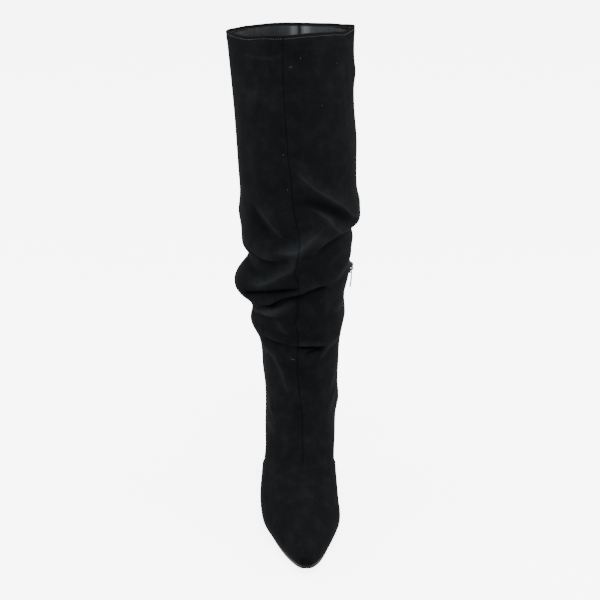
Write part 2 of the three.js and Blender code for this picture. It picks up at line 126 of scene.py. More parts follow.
SWEEP_RADIUS = 9
FLOOR_LEVEL = -0.4 * MM
bpy.ops.object.select_all(action="DESELECT")
bpy.ops.mesh.primitive_uv_sphere_add(segments=64, ring_count=32, radius=SWEEP_RADIUS)
sweep = bpy.context.object
sweep.name = "white_sweep"
for v in sweep.data.vertices:
    v.co.z = max(v.co.z, FLOOR_LEVEL)
sweep.data.flip_normals()
sweep.visible_diffuse = False
sweep.visible_glossy = False
sweep.visible_shadow = False
sweep_paint, tree, surface = new_material("lit_white_sweep", {
    "Base Color": shade("#f4f4f4"),
    "Roughness": 0.9,
    "Specular IOR Level": 0.1,
    "Emission Color": (1, 1, 1, 1),
    "Emission Strength": 5.0,
})
sweep.data.materials.append(sweep_paint)

world = bpy.data.worlds.new("white_surround")
world.use_nodes = True
world.node_tree.nodes["Background"].inputs["Color"].default_value = (1, 1, 1, 1)
world.node_tree.nodes["Background"].inputs["Strength"].default_value = 2.0
bpy.context.scene.world = world


def soft_light(name, place, aim, size, power):
    bpy.ops.object.light_add(type="AREA", location=place)
    light = bpy.context.object
    light.name = name
    light.data.size = size
    light.data.energy = power
    light.rotation_euler = (Vector(aim) - Vector(place)).to_track_quat("-Z", "Y").to_euler()


soft_light("softbox_above", (0.1, -0.7, 1.9), (0, 0, 0.2), 1.4, 48)
soft_light("softbox_inner_side", (1.6, 0.2, 1.0), (0, 0, 0.25), 1.0, 24)
soft_light("softbox_outer_side", (-1.6, 0.3, 1.0), (0, 0, 0.25), 1.0, 24)


# Suede upper. Black micro-suede cut as a vamp for the foot and a slack shaft, closed at the front and
# back, pulled over the last and cemented under it. The shaft is too long for the leg it is made for,
# so it sinks into soft folds above the ankle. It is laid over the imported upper's own outer face.
WALL = 2.0 * MM
LAP = 1.1 * MM
LENGTH = upper_high.y - upper_low.y
HEIGHT = upper_high.z
AROUND = 220

# Planes that fan from the toe to the collar. front_at and back_at are shares of the length behind the
# toe, front_up and back_up of the height, half of the length too, and step is the row spacing in mm.
FAN = [
    # front_at, front_up, back_at, back_up, half, step
    (0.0032, 0.0390, 0.0050, 0.0258, 0.020, 1.2),
    (0.0150, 0.0440, 0.0180, 0.0215, 0.030, 1.6),
    (0.0428, 0.0514, 0.0507, 0.0183, 0.055, 2.2),
    (0.0942, 0.0591, 0.1219, 0.0117, 0.080, 2.8),
    (0.1734, 0.0725, 0.2407, 0.0076, 0.120, 2.8),
    (0.2660, 0.0880, 0.3800, 0.0084, 0.155, 2.6),
    (0.3357, 0.1047, 0.5020, 0.0281, 0.155, 2.4),
    (0.4070, 0.1300, 0.6524, 0.0910, 0.145, 2.4),
    (0.4505, 0.1702, 0.8068, 0.1348, 0.150, 2.4),
    (0.5020, 0.2256, 0.9573, 0.1491, 0.150, 2.2),
    (0.5297, 0.2708, 0.9870, 0.1955, 0.150, 1.9),
    (0.5455, 0.3173, 0.9493, 0.2853, 0.155, 1.3),
    (0.5376, 0.3777, 0.9493, 0.3697, 0.180, 1.15),
    (0.5139, 0.4923, 0.9850, 0.4923, 0.213, 1.5),
    (0.5060, 0.6900, 0.9850, 0.6900, 0.230, 1.6),
    (0.5150, 0.8000, 0.9740, 0.8000, 0.232, 4.0),
    (0.5250, 0.9300, 0.9700, 0.9320, 0.235, 1.5),
    (0.5336, 0.9790, 0.9652, 0.9850, 0.240, 1.0),
    (0.5336, 0.9838, 0.9652, 0.9910, 0.240, 1.0),
]
VAMP_PLANE = 7
RIM_FROM = 16

rows = []
vamp_row = 0
for i, (here, after) in enumerate(zip(FAN, FAN[1:])):
    here, after = np.array(here), np.array(after)
    long_way = math.hypot((after[0] - here[0]) * LENGTH, (after[1] - here[1]) * HEIGHT)
    count = max(1, round(long_way / (here[5] * MM)))
    for k in range(count):
        rows.append(np.append(here + (after - here) * k / count, i + k / count))
    if i == VAMP_PLANE:
        vamp_row = len(rows) - count
        close = here + (after - here) * 0.5 * MM / long_way
        rows.insert(vamp_row + 1, np.append(close, i + 0.01))
rows.append(np.append(FAN[-1], len(FAN) - 1.0))
rows = np.array(rows)

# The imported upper's outer face, met from outside in each plane
COLLAR_FROM = 0.975 * HEIGHT
COLLAR_CENTRE = 0.75 * LENGTH
RIM_WINDOW = 0.16
RIM_BELOW = 0.4 * MM
bpy.ops.object.select_all(action="DESELECT")
cad_upper = frame["nodes"]["upper"]
corners = np.array([v.co for v in cad_upper.data.vertices])
tree_of_upper = BVHTree.FromPolygons(
    [tuple(c) for c in corners],
    [tuple(p.vertices) for p in cad_upper.data.polygons],
)
top_corners = corners[corners[:, 2] > COLLAR_FROM]
top_bearing = np.arctan2(top_corners[:, 0] - MIDLINE_X, -(top_corners[:, 1] - upper_low.y - COLLAR_CENTRE))


def rim_height(bearing):
    """Height of the collar's edge at a bearing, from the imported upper's highest corners there."""
    near = np.abs((top_bearing - bearing + np.pi) % (2 * np.pi) - np.pi) < RIM_WINDOW
    return top_corners[near, 2].max() if near.any() else HEIGHT


turn = np.arange(AROUND) / AROUND
angle = np.pi - 2 * np.pi * turn
rim = np.array([rim_height(a) for a in angle])
rim = (rim + np.roll(rim, 1) + np.roll(rim, -1)) / 3
skin = np.full((len(rows), AROUND, 3), np.nan)
SHAFT_PLANE = 12
MIDDLE_SHARE = 0.46
REACH = 0.25
for i, (front_at, front_up, back_at, back_up, half, _, place) in enumerate(rows):
    front = np.array([toe_y + front_at * LENGTH, front_up * HEIGHT])
    back = np.array([toe_y + back_at * LENGTH, back_up * HEIGHT])
    middle = back + (front - back) * (MIDDLE_SHARE if place < SHAFT_PLANE else 0.5)
    deep = np.linalg.norm(front - back) / 2
    towards = (front - back) / (2 * deep)
    for j in range(AROUND):
        lift = 0.0
        if place > RIM_FROM:
            share = min((place - RIM_FROM) / (len(FAN) - 1 - RIM_FROM), 1)
            level = middle[1] + towards[1] * math.cos(angle[j]) * deep
            lift = share * (rim[j] - RIM_BELOW - level)
        centre = Vector((MIDLINE_X, middle[0], middle[1] + lift))
        ray = Vector((
            half * LENGTH * math.sin(angle[j]),
            towards[0] * deep * math.cos(angle[j]),
            towards[1] * deep * math.cos(angle[j]),
        )).normalized()
        hit = tree_of_upper.ray_cast(centre + ray * REACH, -ray, REACH)[0]
        if hit is not None:
            skin[i, j] = hit

# The zip's slot and the opening under the foot are bridged by their neighbours in each row
for i in range(len(rows)):
    met = np.isfinite(skin[i, :, 0])
    for axis in range(3):
        skin[i, ~met, axis] = np.interp(turn[~met], turn[met], skin[i, met, axis], period=1)


def normals_of(points):
    """Outward direction at each point of a grid that closes on itself across its columns."""
    across = np.roll(points, -1, axis=1) - np.roll(points, 1, axis=1)
    along = np.gradient(points, axis=0)
    out = np.cross(along, across)
    return out / np.maximum(np.linalg.norm(out, axis=2, keepdims=True), 1e-12)


def smooth_step(low, high, value):
    share = np.clip((value - low) / (high - low), 0, 1)
    return share * share * (3 - 2 * share)


def bell(distance, wide):
    """A soft mound that is 1 at no distance and nearly gone at twice its width."""
    return np.exp(-((distance / wide) ** 2))


def soften(grid, rounds):
    """Evens a grid out along its rows and round its columns, which close on themselves."""
    for _ in range(rounds):
        grid[1:-1] += 0.25 * (grid[2:] + grid[:-2] - 2 * grid[1:-1])
        grid += 0.25 * (np.roll(grid, -1, axis=1) + np.roll(grid, 1, axis=1) - 2 * grid)


# The vamp's lap runs out towards the sole, between these two shares of the way round
LAP_FADE = (0.1, 0.18)
lap = LAP * smooth_step(*LAP_FADE, np.minimum(turn, 1 - turn))
lapped = (np.arange(len(rows)) <= vamp_row)[:, None] * lap[None, :]
skin -= normals_of(skin) * lapped[:, :, None]
SMOOTH_ROUNDS = 9
soften(skin, SMOOTH_ROUNDS)

# Columns run from the back seam round the inner side to the front and home again. They are set anew in
# each row, so that some of them follow the zip's two edges and the front seam.
SLOT_WIDTH = 5.4 * MM
TAPE_WIDTH = 15 * MM
TAPE_END = 4 * MM
AXIS_Y = toe_y + 0.7475 * LENGTH
zip_low, zip_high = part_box("zip_tape")
zip_foot = zip_low.z + TAPE_END
zip_top = zip_high.z - TAPE_END


def zip_middle(height):
    """How far back the zip's middle line lies at a height."""
    share = np.clip((height - zip_foot) / (zip_top - zip_foot), 0, 1)
    foot, top = zip_low.y + TAPE_WIDTH / 2, zip_high.y - TAPE_WIDTH / 2
    return foot + (top - foot) * (1 - (1 - share) ** 2)


# The front seam as seen in the photograph: bearing from straight ahead in degrees, height in mm
FRONT_SEAM = [
    (1, 64), (2, 72), (2, 110), (0, 128), (-1, 136), (-3, 154), (-3, 172), (-2, 186), (-2, 198), (-5, 212),
    (-2, 224), (-3, 232), (-1, 250), (-3, 259), (-6, 266), (-3, 273), (-2, 283), (-1, 290), (0, 299),
    (-2, 311), (-5, 327), (-7, 345), (-8, 362), (-11, 384), (-12, 401), (-14, 426), (-16, 456), (-17, 500),
]
seam_bearing, seam_height = np.array(FRONT_SEAM, float).T


def bearing_of(points):
    """Bearing of points about the leg's axis in degrees: 0 ahead, 90 on the inner side."""
    return np.degrees(np.arctan2(points[..., 0] - MIDLINE_X, AXIS_Y - points[..., 1]))


def first_crossing(values, places):
    """Where values first fall below zero, between two of the places."""
    k = int(np.argmax(values < 0))
    if k == 0:
        return None
    return places[k - 1] + (places[k] - places[k - 1]) * values[k - 1] / (values[k - 1] - values[k])


def spread(start, end, count, after=(), before=()):
    """Places from start up to end: some set close behind start and close before end, the rest even."""
    after = start + np.array(after) * MM
    before = end - np.array(before)[::-1] * MM
    first = after[-1] if len(after) else start
    last = before[0] if len(before) else end
    even = np.linspace(first, last, count - len(after) - len(before) + 1)
    inner = even[1:-1] if len(before) else even[1:]
    places = np.concatenate([[start], after, inner, before])
    return places[:count]


SEAM_EDGE = (0.5, 1.1, 2.0)
ZIP_EDGE = (0.7, 1.6, 2.6, 3.6)
BACK_COLUMNS, SLOT_COLUMNS, INNER_COLUMNS, OUTER_COLUMNS = 34, 3, 62, 96
COLUMNS = BACK_COLUMNS + SLOT_COLUMNS + INNER_COLUMNS + OUTER_COLUMNS
FIRST_ZIP_COLUMN = BACK_COLUMNS
LAST_ZIP_COLUMN = BACK_COLUMNS + SLOT_COLUMNS
SEAM_COLUMN = LAST_ZIP_COLUMN + INNER_COLUMNS

# Where the zip and the front seam are looked for, as parts of the way round, and how far beyond the zip
# its two columns run on
INNER_SIDE = slice(int(0.06 * AROUND), int(0.46 * AROUND))
FRONT_SIDE = slice(int(0.30 * AROUND), int(0.70 * AROUND))
RUN_ON_BELOW = 8 * MM
RUN_ON_ABOVE = 60 * MM
SEAM_BLEND_ROWS = 12
KEY_ROUNDS = 3
SHAFT_GIRTH = 340 * MM

closed = np.concatenate([skin, skin[:, :1]], axis=1)
lengths = np.cumsum(np.linalg.norm(np.diff(closed, axis=1), axis=2), axis=1)
lengths = np.concatenate([np.zeros((len(rows), 1)), lengths], axis=1)
keys = np.full((len(rows), 3), np.nan)
for i in range(len(rows)):
    ahead = closed[i, INNER_SIDE, 1] - zip_middle(closed[i, INNER_SIDE, 2])
    inside_zip = closed[i, INNER_SIDE, 2][np.argmin(np.abs(ahead))]
    if zip_foot - RUN_ON_BELOW < inside_zip < zip_top + RUN_ON_ABOVE:
        for k, offset in enumerate((SLOT_WIDTH / 2, -SLOT_WIDTH / 2)):
            met = first_crossing(ahead - offset, lengths[i, INNER_SIDE])
            if met is not None:
                keys[i, k] = met / lengths[i, -1]
    if i > vamp_row:
        front_side = closed[i, FRONT_SIDE]
        apart = bearing_of(front_side) - np.interp(front_side[:, 2] / MM, seam_height, seam_bearing)
        met = first_crossing(apart, lengths[i, FRONT_SIDE])
        if met is not None:
            keys[i, 2] = met / lengths[i, -1]
    elif i < vamp_row - SEAM_BLEND_ROWS:
        keys[i, 2] = lengths[i, AROUND // 2] / lengths[i, -1]
for k in range(3):
    known = np.isfinite(keys[:, k])
    keys[:, k] = np.interp(np.arange(len(rows)), np.where(known)[0], keys[known, k])
    for _ in range(KEY_ROUNDS):
        keys[1:-1, k] += 0.25 * (keys[2:, k] + keys[:-2, k] - 2 * keys[1:-1, k])
base = np.empty((len(rows), COLUMNS, 3))
bottom_share = np.empty((len(rows), COLUMNS))
for i in range(len(rows)):
    full = lengths[i, -1]
    a, b, c = keys[i] * full
    small = min(full / SHAFT_GIRTH, 1)
    places = np.concatenate([
        spread(0, a, BACK_COLUMNS, np.array(SEAM_EDGE) * small, np.array(ZIP_EDGE) * small),
        spread(a, b, SLOT_COLUMNS),
        spread(b, c, INNER_COLUMNS, np.array(ZIP_EDGE) * small, np.array(SEAM_EDGE) * small),
        spread(c, full, OUTER_COLUMNS, np.array(SEAM_EDGE) * small, np.array(SEAM_EDGE) * small),
    ])
    for axis in range(3):
        base[i, :, axis] = np.interp(places, lengths[i], closed[i, :, axis])
    bottom_share[i] = np.interp(places, lengths[i], np.append(turn, 1.0))

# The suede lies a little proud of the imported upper, and more so where the foot has become the shaft
SKIN_OUT, SHAFT_OUT = 0.35, 0.4
SHAFT_RISE = (100 * MM, 160 * MM)
shaft_share = smooth_step(*SHAFT_RISE, base[..., 2])
base += normals_of(base) * ((SKIN_OUT + SHAFT_OUT * shaft_share) * MM)[..., None]

# The collar's edge stands a little higher in front of the leg than at the imported upper's plain rim, and
# dips at the sides, most on the outer side: bearing in degrees, lift in mm
RIM_LIFT = [
    (-180, 0), (-118, 0), (-90, -2.0), (-75, -0.2), (-56, 1.2), (-37, 5.0), (-14, 6.1), (-5, 6.9),
    (10, 7.5), (27, 6.5), (46, 4.8), (64, 1.6), (90, 0.8), (115, 2.0), (140, 2.2), (165, 0.6), (180, 0),
]
LIFT_FROM = 0.93 * HEIGHT
lift_bearing, lift = np.array(RIM_LIFT, float).T
rim_share = np.clip((base[..., 2] - LIFT_FROM) / (base[-1, :, 2] - LIFT_FROM), 0, 1)
base[..., 2] += rim_share * np.interp(bearing_of(base[-1]), lift_bearing, lift) * MM

# Under the foot the upper ends in a lasting margin round one long opening. What is thinner there than a
# film is no wall and counts as open, and so does a gap of a few columns between open ones.
DOWNWARD = -0.4
OPENING_BELOW = 0.2 * HEIGHT
LOOK_FROM = 8 * MM
LOOK_THROUGH = 14 * MM
FILM = 1 * MM
GAP_COLUMNS = range(1, 4)
UPWARD = Vector((0, 0, 1))
under = np.zeros(base.shape[:2], bool)
facing_down = (normals_of(base)[..., 2] < DOWNWARD) & (base[..., 2] < OPENING_BELOW)
for i, j in zip(*np.where(facing_down)):
    bottom = tree_of_upper.ray_cast(Vector(base[i, j]) - UPWARD * LOOK_FROM, UPWARD, LOOK_THROUGH)[0]
    if bottom is None:
        under[i, j] = True
    else:
        under[i, j] = tree_of_upper.ray_cast(bottom + UPWARD * FILM / 50, UPWARD, FILM)[0] is not None
open_before = np.any([np.roll(under, gap, axis=1) for gap in GAP_COLUMNS], axis=0)
open_after = np.any([np.roll(under, -gap, axis=1) for gap in GAP_COLUMNS], axis=0)
under |= open_before & open_after

# Creases and swells of the slack shaft, placed from the photograph, and round the back, where it shows
# nothing, in the way such a shaft falls. Each path is bearing in degrees and height in mm, deep and wide
# are in mm. A trough sinks, a ridge or swell rises, a lip rolls out above its line and tucks in below it,
# and a crease is a sharp fold line with painted shade along it. A pale line is partly paler nap and partly
# a painted highlight along a crest, and its deep is how much paler.
CREASES = [
    ("ridge", 1.9, 6.0, [(-5, 371), (14, 352), (34, 338), (52, 326), (60, 317), (84, 311)]),
    ("trough", 2.8, 5.2, [(-4, 338), (9, 336), (29, 328), (52, 314), (66, 308)]),
    ("ridge", 1.6, 4.5, [(6, 334), (19, 327), (29, 319), (34, 311), (44, 303)]),
    ("lip", 2.2, 5.5, [(104, 306), (84, 303), (62, 301), (41, 301), (25, 295), (14, 285)]),
    ("swell", 2.2, 9.0, [(76, 328), (102, 326)]),
    ("swell", 1.6, 7.0, [(76, 291), (104, 289)]),
    ("pale_line", 0.75, 5.0, [(19, 308), (11, 300), (2, 292), (-4, 290), (-9, 289), (-21, 288)]),
    ("pale_line", 0.6, 4.0, [(0, 290), (-6, 280), (-8, 271)]),
    ("ridge", 2.4, 6.5, [(24, 312), (8, 300), (-2, 290), (-11, 288), (-26, 287)]),
    ("swell", 2.6, 13.0, [(-106, 318), (-78, 311)]),
    ("trough", 2.2, 6.5, [(-56, 332), (-42, 315), (-32, 305), (-20, 298)]),
    ("ridge", 1.4, 6.0, [(-44, 335), (-33, 322), (-22, 308), (-12, 300)]),
    ("lip", 3.0, 5.0, [(-73, 288), (-65, 287), (-57, 283), (-46, 280), (-38, 277), (-29, 277), (-17, 278)]),
    ("trough", 2.2, 3.8, [(-92, 268), (-74, 264), (-62, 263), (-48, 259), (-34, 262)]),
    ("ridge", 2.8, 4.6, [(-54, 248), (-41, 250), (-31, 255), (-23, 260), (-17, 265), (-8, 270), (-6, 278)]),
    ("pale_line", 0.15, 1.8, [(-54, 248), (-41, 250), (-31, 255), (-23, 260), (-17, 265), (-8, 269)]),
    ("pale_line", 0.3, 4.5, [(-52, 243), (-36, 247), (-21, 252), (-10, 255)]),
    ("trough", 2.0, 4.2, [(-66, 232), (-58, 234), (-48, 237), (-32, 240), (-15, 243), (0, 247)]),
    ("crease", 2.4, 1.5, [(-64, 234), (-57, 235), (-37, 241), (-19, 245), (0, 249)]),
    ("lip", 2.8, 4.0,
     [(-48, 222), (-32, 227), (-20, 235), (-3, 241), (5, 244), (9, 246), (17, 248), (30, 247)]),
    ("crease", 2.6, 1.5,
     [(-44, 223), (-32, 227), (-20, 235), (-3, 241), (5, 244), (9, 246), (17, 248), (30, 247)]),
    ("swell", 1.8, 3.8, [(-48, 215), (-30, 220), (-15, 228), (0, 235)]),
    ("pale_line", 0.45, 4.0, [(-46, 215), (-25, 222), (-5, 232)]),
    ("lip", 2.2, 4.2, [(-78, 211), (-64, 211), (-50, 214), (-33, 215), (-23, 216)]),
    ("ridge", 1.5, 3.6, [(-25, 215), (-20, 205), (-11, 197)]),
    ("lip", 2.4, 3.8, [(-68, 197), (-47, 191), (-27, 187), (-13, 186)]),
    ("lip", 2.2, 2.8, [(-12, 184), (6, 184), (18, 183), (33, 179)]),
    ("crease", 1.6, 1.5, [(-5, 183), (11, 182), (32, 179)]),
    ("crease", 1.2, 1.3, [(6, 176), (20, 178), (29, 176)]),
    ("ridge", 2.2, 4.6, [(80, 276), (65, 269), (55, 263), (45, 257), (34, 249)]),
    ("ridge", 1.8, 4.2, [(78, 228), (66, 223), (51, 220), (38, 214)]),
    ("ridge", 1.8, 4.2, [(68, 190), (55, 185), (36, 180), (28, 173), (20, 163)]),
    ("ridge", 2.0, 4.6, [(-64, 176), (-43, 173), (-33, 170), (-24, 158), (-12, 130)]),
    ("ridge", 1.3, 4.0, [(60, 146), (47, 137), (37, 127)]),
    ("ridge", 1.3, 4.0, [(72, 124), (48, 113), (28, 102)]),
    ("swell", 2.5, 12.0, [(66, 114), (86, 106), (104, 100)]),
    ("ridge", 1.1, 4.0, [(-52, 96), (-32, 92), (-22, 88)]),
    ("ridge", 1.3, 4.0, [(-57, 118), (-38, 106), (-26, 95)]),
    ("swell", 0.35, 1.4, [(-66, 475), (-52, 474), (-38, 475), (-27, 476), (-17, 478), (-10, 480), (0, 482)]),
    ("pale_line", 0.5, 1.2, [(-66, 476), (-52, 475), (-38, 475), (-27, 476), (-17, 479), (-8, 482)]),
    ("swell", 2.0, 10.0, [(78, 452), (100, 458)]),
    ("swell", 1.5, 22.0, [(74, 390), (104, 390)]),
    ("swell", 1.0, 14.0, [(-104, 141), (-76, 141)]),
    ("trough", 1.2, 12.0, [(78, 138), (102, 138)]),
    ("pale_line", 0.35, 6.0, [(-59, 432), (-48, 438), (-37, 443)]),
    ("pale_line", 0.35, 4.0, [(-34, 460), (-28, 460)]),
    ("swell", 1.4, 5.0, [(84, 507), (98, 507)]),
    ("swell", 0.9, 5.0, [(-100, 507), (-86, 507)]),
    ("lip", 3.0, 6.0, [(106, 336), (128, 330), (155, 328), (182, 333), (208, 330), (232, 322)]),
    ("trough", 3.6, 6.0, [(112, 298), (135, 304), (160, 300), (190, 296), (222, 300), (250, 292)]),
    ("ridge", 2.2, 6.0, [(120, 284), (150, 280), (185, 284), (215, 276)]),
    ("lip", 3.6, 5.0, [(104, 262), (130, 256), (158, 252), (186, 258), (214, 252), (244, 256)]),
    ("trough", 3.0, 4.6, [(125, 232), (152, 226), (180, 228), (210, 234), (236, 228)]),
    ("lip", 3.4, 4.4, [(110, 214), (134, 206), (164, 204), (196, 210), (226, 204), (252, 210)]),
    ("ridge", 1.8, 4.6, [(118, 188), (146, 182), (180, 180), (214, 186)]),
    ("trough", 2.0, 3.8, [(128, 168), (156, 164), (188, 166), (218, 172)]),
    ("ridge", 1.2, 4.4, [(150, 150), (180, 144), (206, 150)]),
]
# How a path is laid out and how it looks, in mm and in shares of its own width: a crest gets a painted
# highlight and a crease a painted shade along a narrow line, each path tapers at its ends, and what
# stands out sags
LEG_RADIUS = 56
MM_PER_DEGREE = LEG_RADIUS * math.pi / 180
CREST_HIGHLIGHT, CREST_HIGHLIGHT_WIDTH = 0.75, 1.1
CREASE_SHADE, CREASE_SHADE_WIDTH = 1.3, 1.3
TAPER = 16
CREASE_TAPER = 6
LONGEST_TAPER = 0.45
TAPER_BEYOND = 0.25
LIP_OUT_AT = 0.6
LIP_IN_AT, LIP_IN_WIDE = 0.4, 0.55
LIP_HIGHLIGHT_AT = 0.35
SAG = 0.5

bearing = bearing_of(base)
height = base[..., 2] / MM
push = np.zeros(base.shape[:2])
nap_and_painted_light = np.zeros(base.shape[:2])
for kind, deep, wide, path in CREASES:
    path = np.array(path, float)
    legs = np.hypot(np.diff(path[:, 0]) * MM_PER_DEGREE, np.diff(path[:, 1]))
    run = np.concatenate([[0], np.cumsum(legs)])
    away = np.full(bearing.shape, 1e9)
    above = np.zeros(bearing.shape)
    along = np.zeros(bearing.shape)
    for k in range(len(path) - 1):
        u = ((bearing - path[k, 0] + 180) % 360 - 180) * MM_PER_DEGREE
        v = height - path[k, 1]
        du = (path[k + 1, 0] - path[k, 0]) * MM_PER_DEGREE
        dv = path[k + 1, 1] - path[k, 1]
        part = np.clip((u * du + v * dv) / (du * du + dv * dv), 0, 1)
        distance = np.hypot(u - part * du, v - part * dv)
        side = np.sign((v * du - u * dv) * (1 if du > 0 else -1))
        nearer = distance < away
        away[nearer] = distance[nearer]
        above[nearer] = side[nearer]
        along[nearer] = (run[k] + part * (run[k + 1] - run[k]))[nearer]
    fade = min(CREASE_TAPER if kind == "crease" else TAPER, LONGEST_TAPER * run[-1])
    window = smooth_step(-TAPER_BEYOND * fade, fade, along)
    window *= smooth_step(-TAPER_BEYOND * fade, fade, run[-1] - along)
    profile = window * deep * bell(away, wide)
    if kind == "trough":
        push -= profile
    elif kind == "crease":
        push -= profile
        # painted shade along the crease line
        nap_and_painted_light -= CREASE_SHADE * window * bell(away, CREASE_SHADE_WIDTH)
    elif kind == "pale_line":
        # a pale line: paler nap, and on some crests a painted highlight
        nap_and_painted_light += profile
    elif kind == "swell":
        push += profile
    elif kind == "ridge":
        push += profile
        # painted highlight along the ridge's crest
        nap_and_painted_light += CREST_HIGHLIGHT * window * bell(away, CREST_HIGHLIGHT_WIDTH)
    else:
        signed = away * above
        push += window * deep * bell(signed - LIP_OUT_AT * wide, wide)
        push -= window * deep * bell(signed + LIP_IN_AT * wide, LIP_IN_WIDE * wide)
        # painted highlight along the lip's roll
        nap_and_painted_light += CREST_HIGHLIGHT * window * bell(signed - LIP_HIGHLIGHT_AT * wide, CREST_HIGHLIGHT_WIDTH)

# The slider rides on a calm stretch of the zip, so no crease moves the skin beside it
slider_low, slider_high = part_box("zip_slider")
CALM_DEGREES = (10, 26)
CALM_HEIGHTS = (8, 22)
calm_side = smooth_step(*CALM_DEGREES, np.abs(bearing - 90))
calm_high = smooth_step(*CALM_HEIGHTS, np.abs(height - (slider_low.z + slider_high.z) / 2 / MM))
push *= np.maximum(calm_side, calm_high)
soften(push, 1)

outward = normals_of(base)
skin = base + outward * (push * MM)[..., None]
skin[..., 2] -= SAG * np.maximum(push, 0) * MM

# The lining bridges the sharpest creases on the inside, so it follows a calmer line
LINING_ROUNDS = 10
calm_push = push.copy()
soften(calm_push, LINING_ROUNDS)
calm_push = np.minimum(calm_push, push)
calm_skin = base + outward * (calm_push * MM)[..., None]
calm_skin[..., 2] -= SAG * np.maximum(calm_push, 0) * MM

# Seams. The front and back seams are closed seams pressed open, which leaves a fine groove between two
# faint swells. The vamp is lapped over the shaft, and the collar is turned in and stitched down.
columns = np.arange(COLUMNS)
from_rim = np.cumsum(np.linalg.norm(np.diff(skin[::-1], axis=0), axis=2), axis=0)[::-1]
from_rim = np.concatenate([from_rim, np.zeros((1, COLUMNS))])
steps = np.linalg.norm(np.diff(np.concatenate([skin, skin[:, :1]], axis=1), axis=1), axis=2)
walked = np.concatenate([np.zeros((len(rows), 1)), np.cumsum(steps, axis=1)], axis=1)
to_front_seam = np.abs(walked[:, :-1] - walked[:, SEAM_COLUMN:SEAM_COLUMN + 1])
to_back_seam = np.minimum(walked[:, :-1], walked[:, -1:] - walked[:, :-1])
to_zip = np.minimum(np.abs(walked[:, :-1] - walked[:, FIRST_ZIP_COLUMN:FIRST_ZIP_COLUMN + 1]),
                    np.abs(walked[:, :-1] - walked[:, LAST_ZIP_COLUMN:LAST_ZIP_COLUMN + 1]))
on_shaft = (np.arange(len(rows)) > vamp_row)[:, None]
in_zip = (height > zip_foot / MM - 1) & (height < zip_top / MM + 1) & (np.abs(bearing - 90) < 40)


# Heights or depths, distances from the seam and widths, in mm
GROOVE, GROOVE_WIDE = 0.45, 0.35
TURNING, TURNING_AT, TURNING_WIDE = 0.15, 2.2, 1.6
ZIP_FOLD, ZIP_FOLD_WIDE = 0.35, 1.4
ZIP_STITCH, ZIP_STITCH_AT, ZIP_STITCH_WIDE = 0.3, 2.6, 0.5
HEM, HEM_FADE = 0.35, (9, 7)
HEM_STITCH, HEM_STITCH_DEEP, HEM_STITCH_WIDE = 2.1, 0.3, 0.8
LINING_SEAM, LINING_TURNING_AT, LINING_TURNING_WIDE, LINING_GROOVE_WIDE = 0.7, 3.5, 2.2, 0.9
BACK_SEAM_FROM, LINING_SEAM_FROM = 70, 90
VAMP_STEP = 1.3 * MM


def seam_form(distance):
    """Groove at a closed seam and the swell of its turnings on both sides."""
    away = distance / MM
    return -GROOVE * bell(away, GROOVE_WIDE) + TURNING * bell(away - TURNING_AT, TURNING_WIDE)


detail = on_shaft * seam_form(to_front_seam)
detail += (height > BACK_SEAM_FROM) * seam_form(to_back_seam)
zip_fold = ZIP_FOLD * bell(to_zip / MM, ZIP_FOLD_WIDE)
detail += in_zip * (zip_fold - ZIP_STITCH * bell(to_zip / MM - ZIP_STITCH_AT, ZIP_STITCH_WIDE))
detail += HEM * smooth_step(*HEM_FADE, from_rim / MM)
detail -= HEM_STITCH_DEEP * bell(from_rim / MM - HEM_STITCH, HEM_STITCH_WIDE)
lap = VAMP_STEP * smooth_step(*LAP_FADE, np.minimum(bottom_share, 1 - bottom_share))
outward = normals_of(skin)
lapped = (np.arange(len(rows)) <= vamp_row)[:, None] * lap
lining_form = bell(to_back_seam / MM - LINING_TURNING_AT, LINING_TURNING_WIDE)
lining_form -= bell(to_back_seam / MM, LINING_GROOVE_WIDE)
lining_form *= LINING_SEAM * (height > LINING_SEAM_FROM)
inner_skin = calm_skin - normals_of(base) * (WALL + lining_form * MM)[..., None]
skin = skin + outward * (detail * MM + lapped)[..., None]

# Rim of the collar, a rounded edge between the outer and the inner face
RIM_STEPS = 5
RIM_ROUND = 1 * MM
TOE_TIP = 0.9 * MM
rim_middle = (skin[-1] + inner_skin[-1]) / 2
rim_half = (skin[-1] - inner_skin[-1]) / 2
rim_rows = []
for half_turn in np.arange(1, RIM_STEPS) * math.pi / RIM_STEPS:
    raised = np.array([0, 0, RIM_ROUND * math.sin(half_turn)])
    rim_rows.append(rim_middle + rim_half * math.cos(half_turn) + raised)
INNER_STRIDE = 3
inner_rows = inner_skin[::-1][::INNER_STRIDE]
tip_outside = skin[0].mean(axis=0) + np.array([0, -TOE_TIP, 0])
tip_inside = inner_rows[-1].mean(axis=0)
levels = np.concatenate([
    np.broadcast_to(tip_outside, (1, COLUMNS, 3)), skin, np.array(rim_rows), inner_rows,
    np.broadcast_to(tip_inside, (1, COLUMNS, 3)),
])
first_inner = 1 + len(rows) + len(rim_rows)

bpy.ops.object.select_all(action="DESELECT")
bpy.ops.mesh.primitive_grid_add(x_subdivisions=COLUMNS, y_subdivisions=len(levels) - 1, size=1)
suede = bpy.context.object
suede.name = "suede_upper"
grid = np.concatenate([levels, levels[:, :1]], axis=1)
suede.data.vertices.foreach_set("co", grid.reshape(-1).astype(np.float32))


def record(piece, name, values):
    """Stores one number per corner of the cut-out, such as how strong the painted highlight and shade are
    there.
    """
    held = piece.data.attributes.new(name, "FLOAT", "POINT")
    values = np.concatenate([values, values[:, :1]], axis=1)
    held.data.foreach_set("value", values.reshape(-1).astype(np.float32))


def over_all_levels(values):
    """Numbers of the outer face, carried on to the tip and as nothing to the rim and the lining."""
    extra = np.zeros((len(levels) - 1 - len(rows), COLUMNS))
    return np.concatenate([values[:1], values, extra])


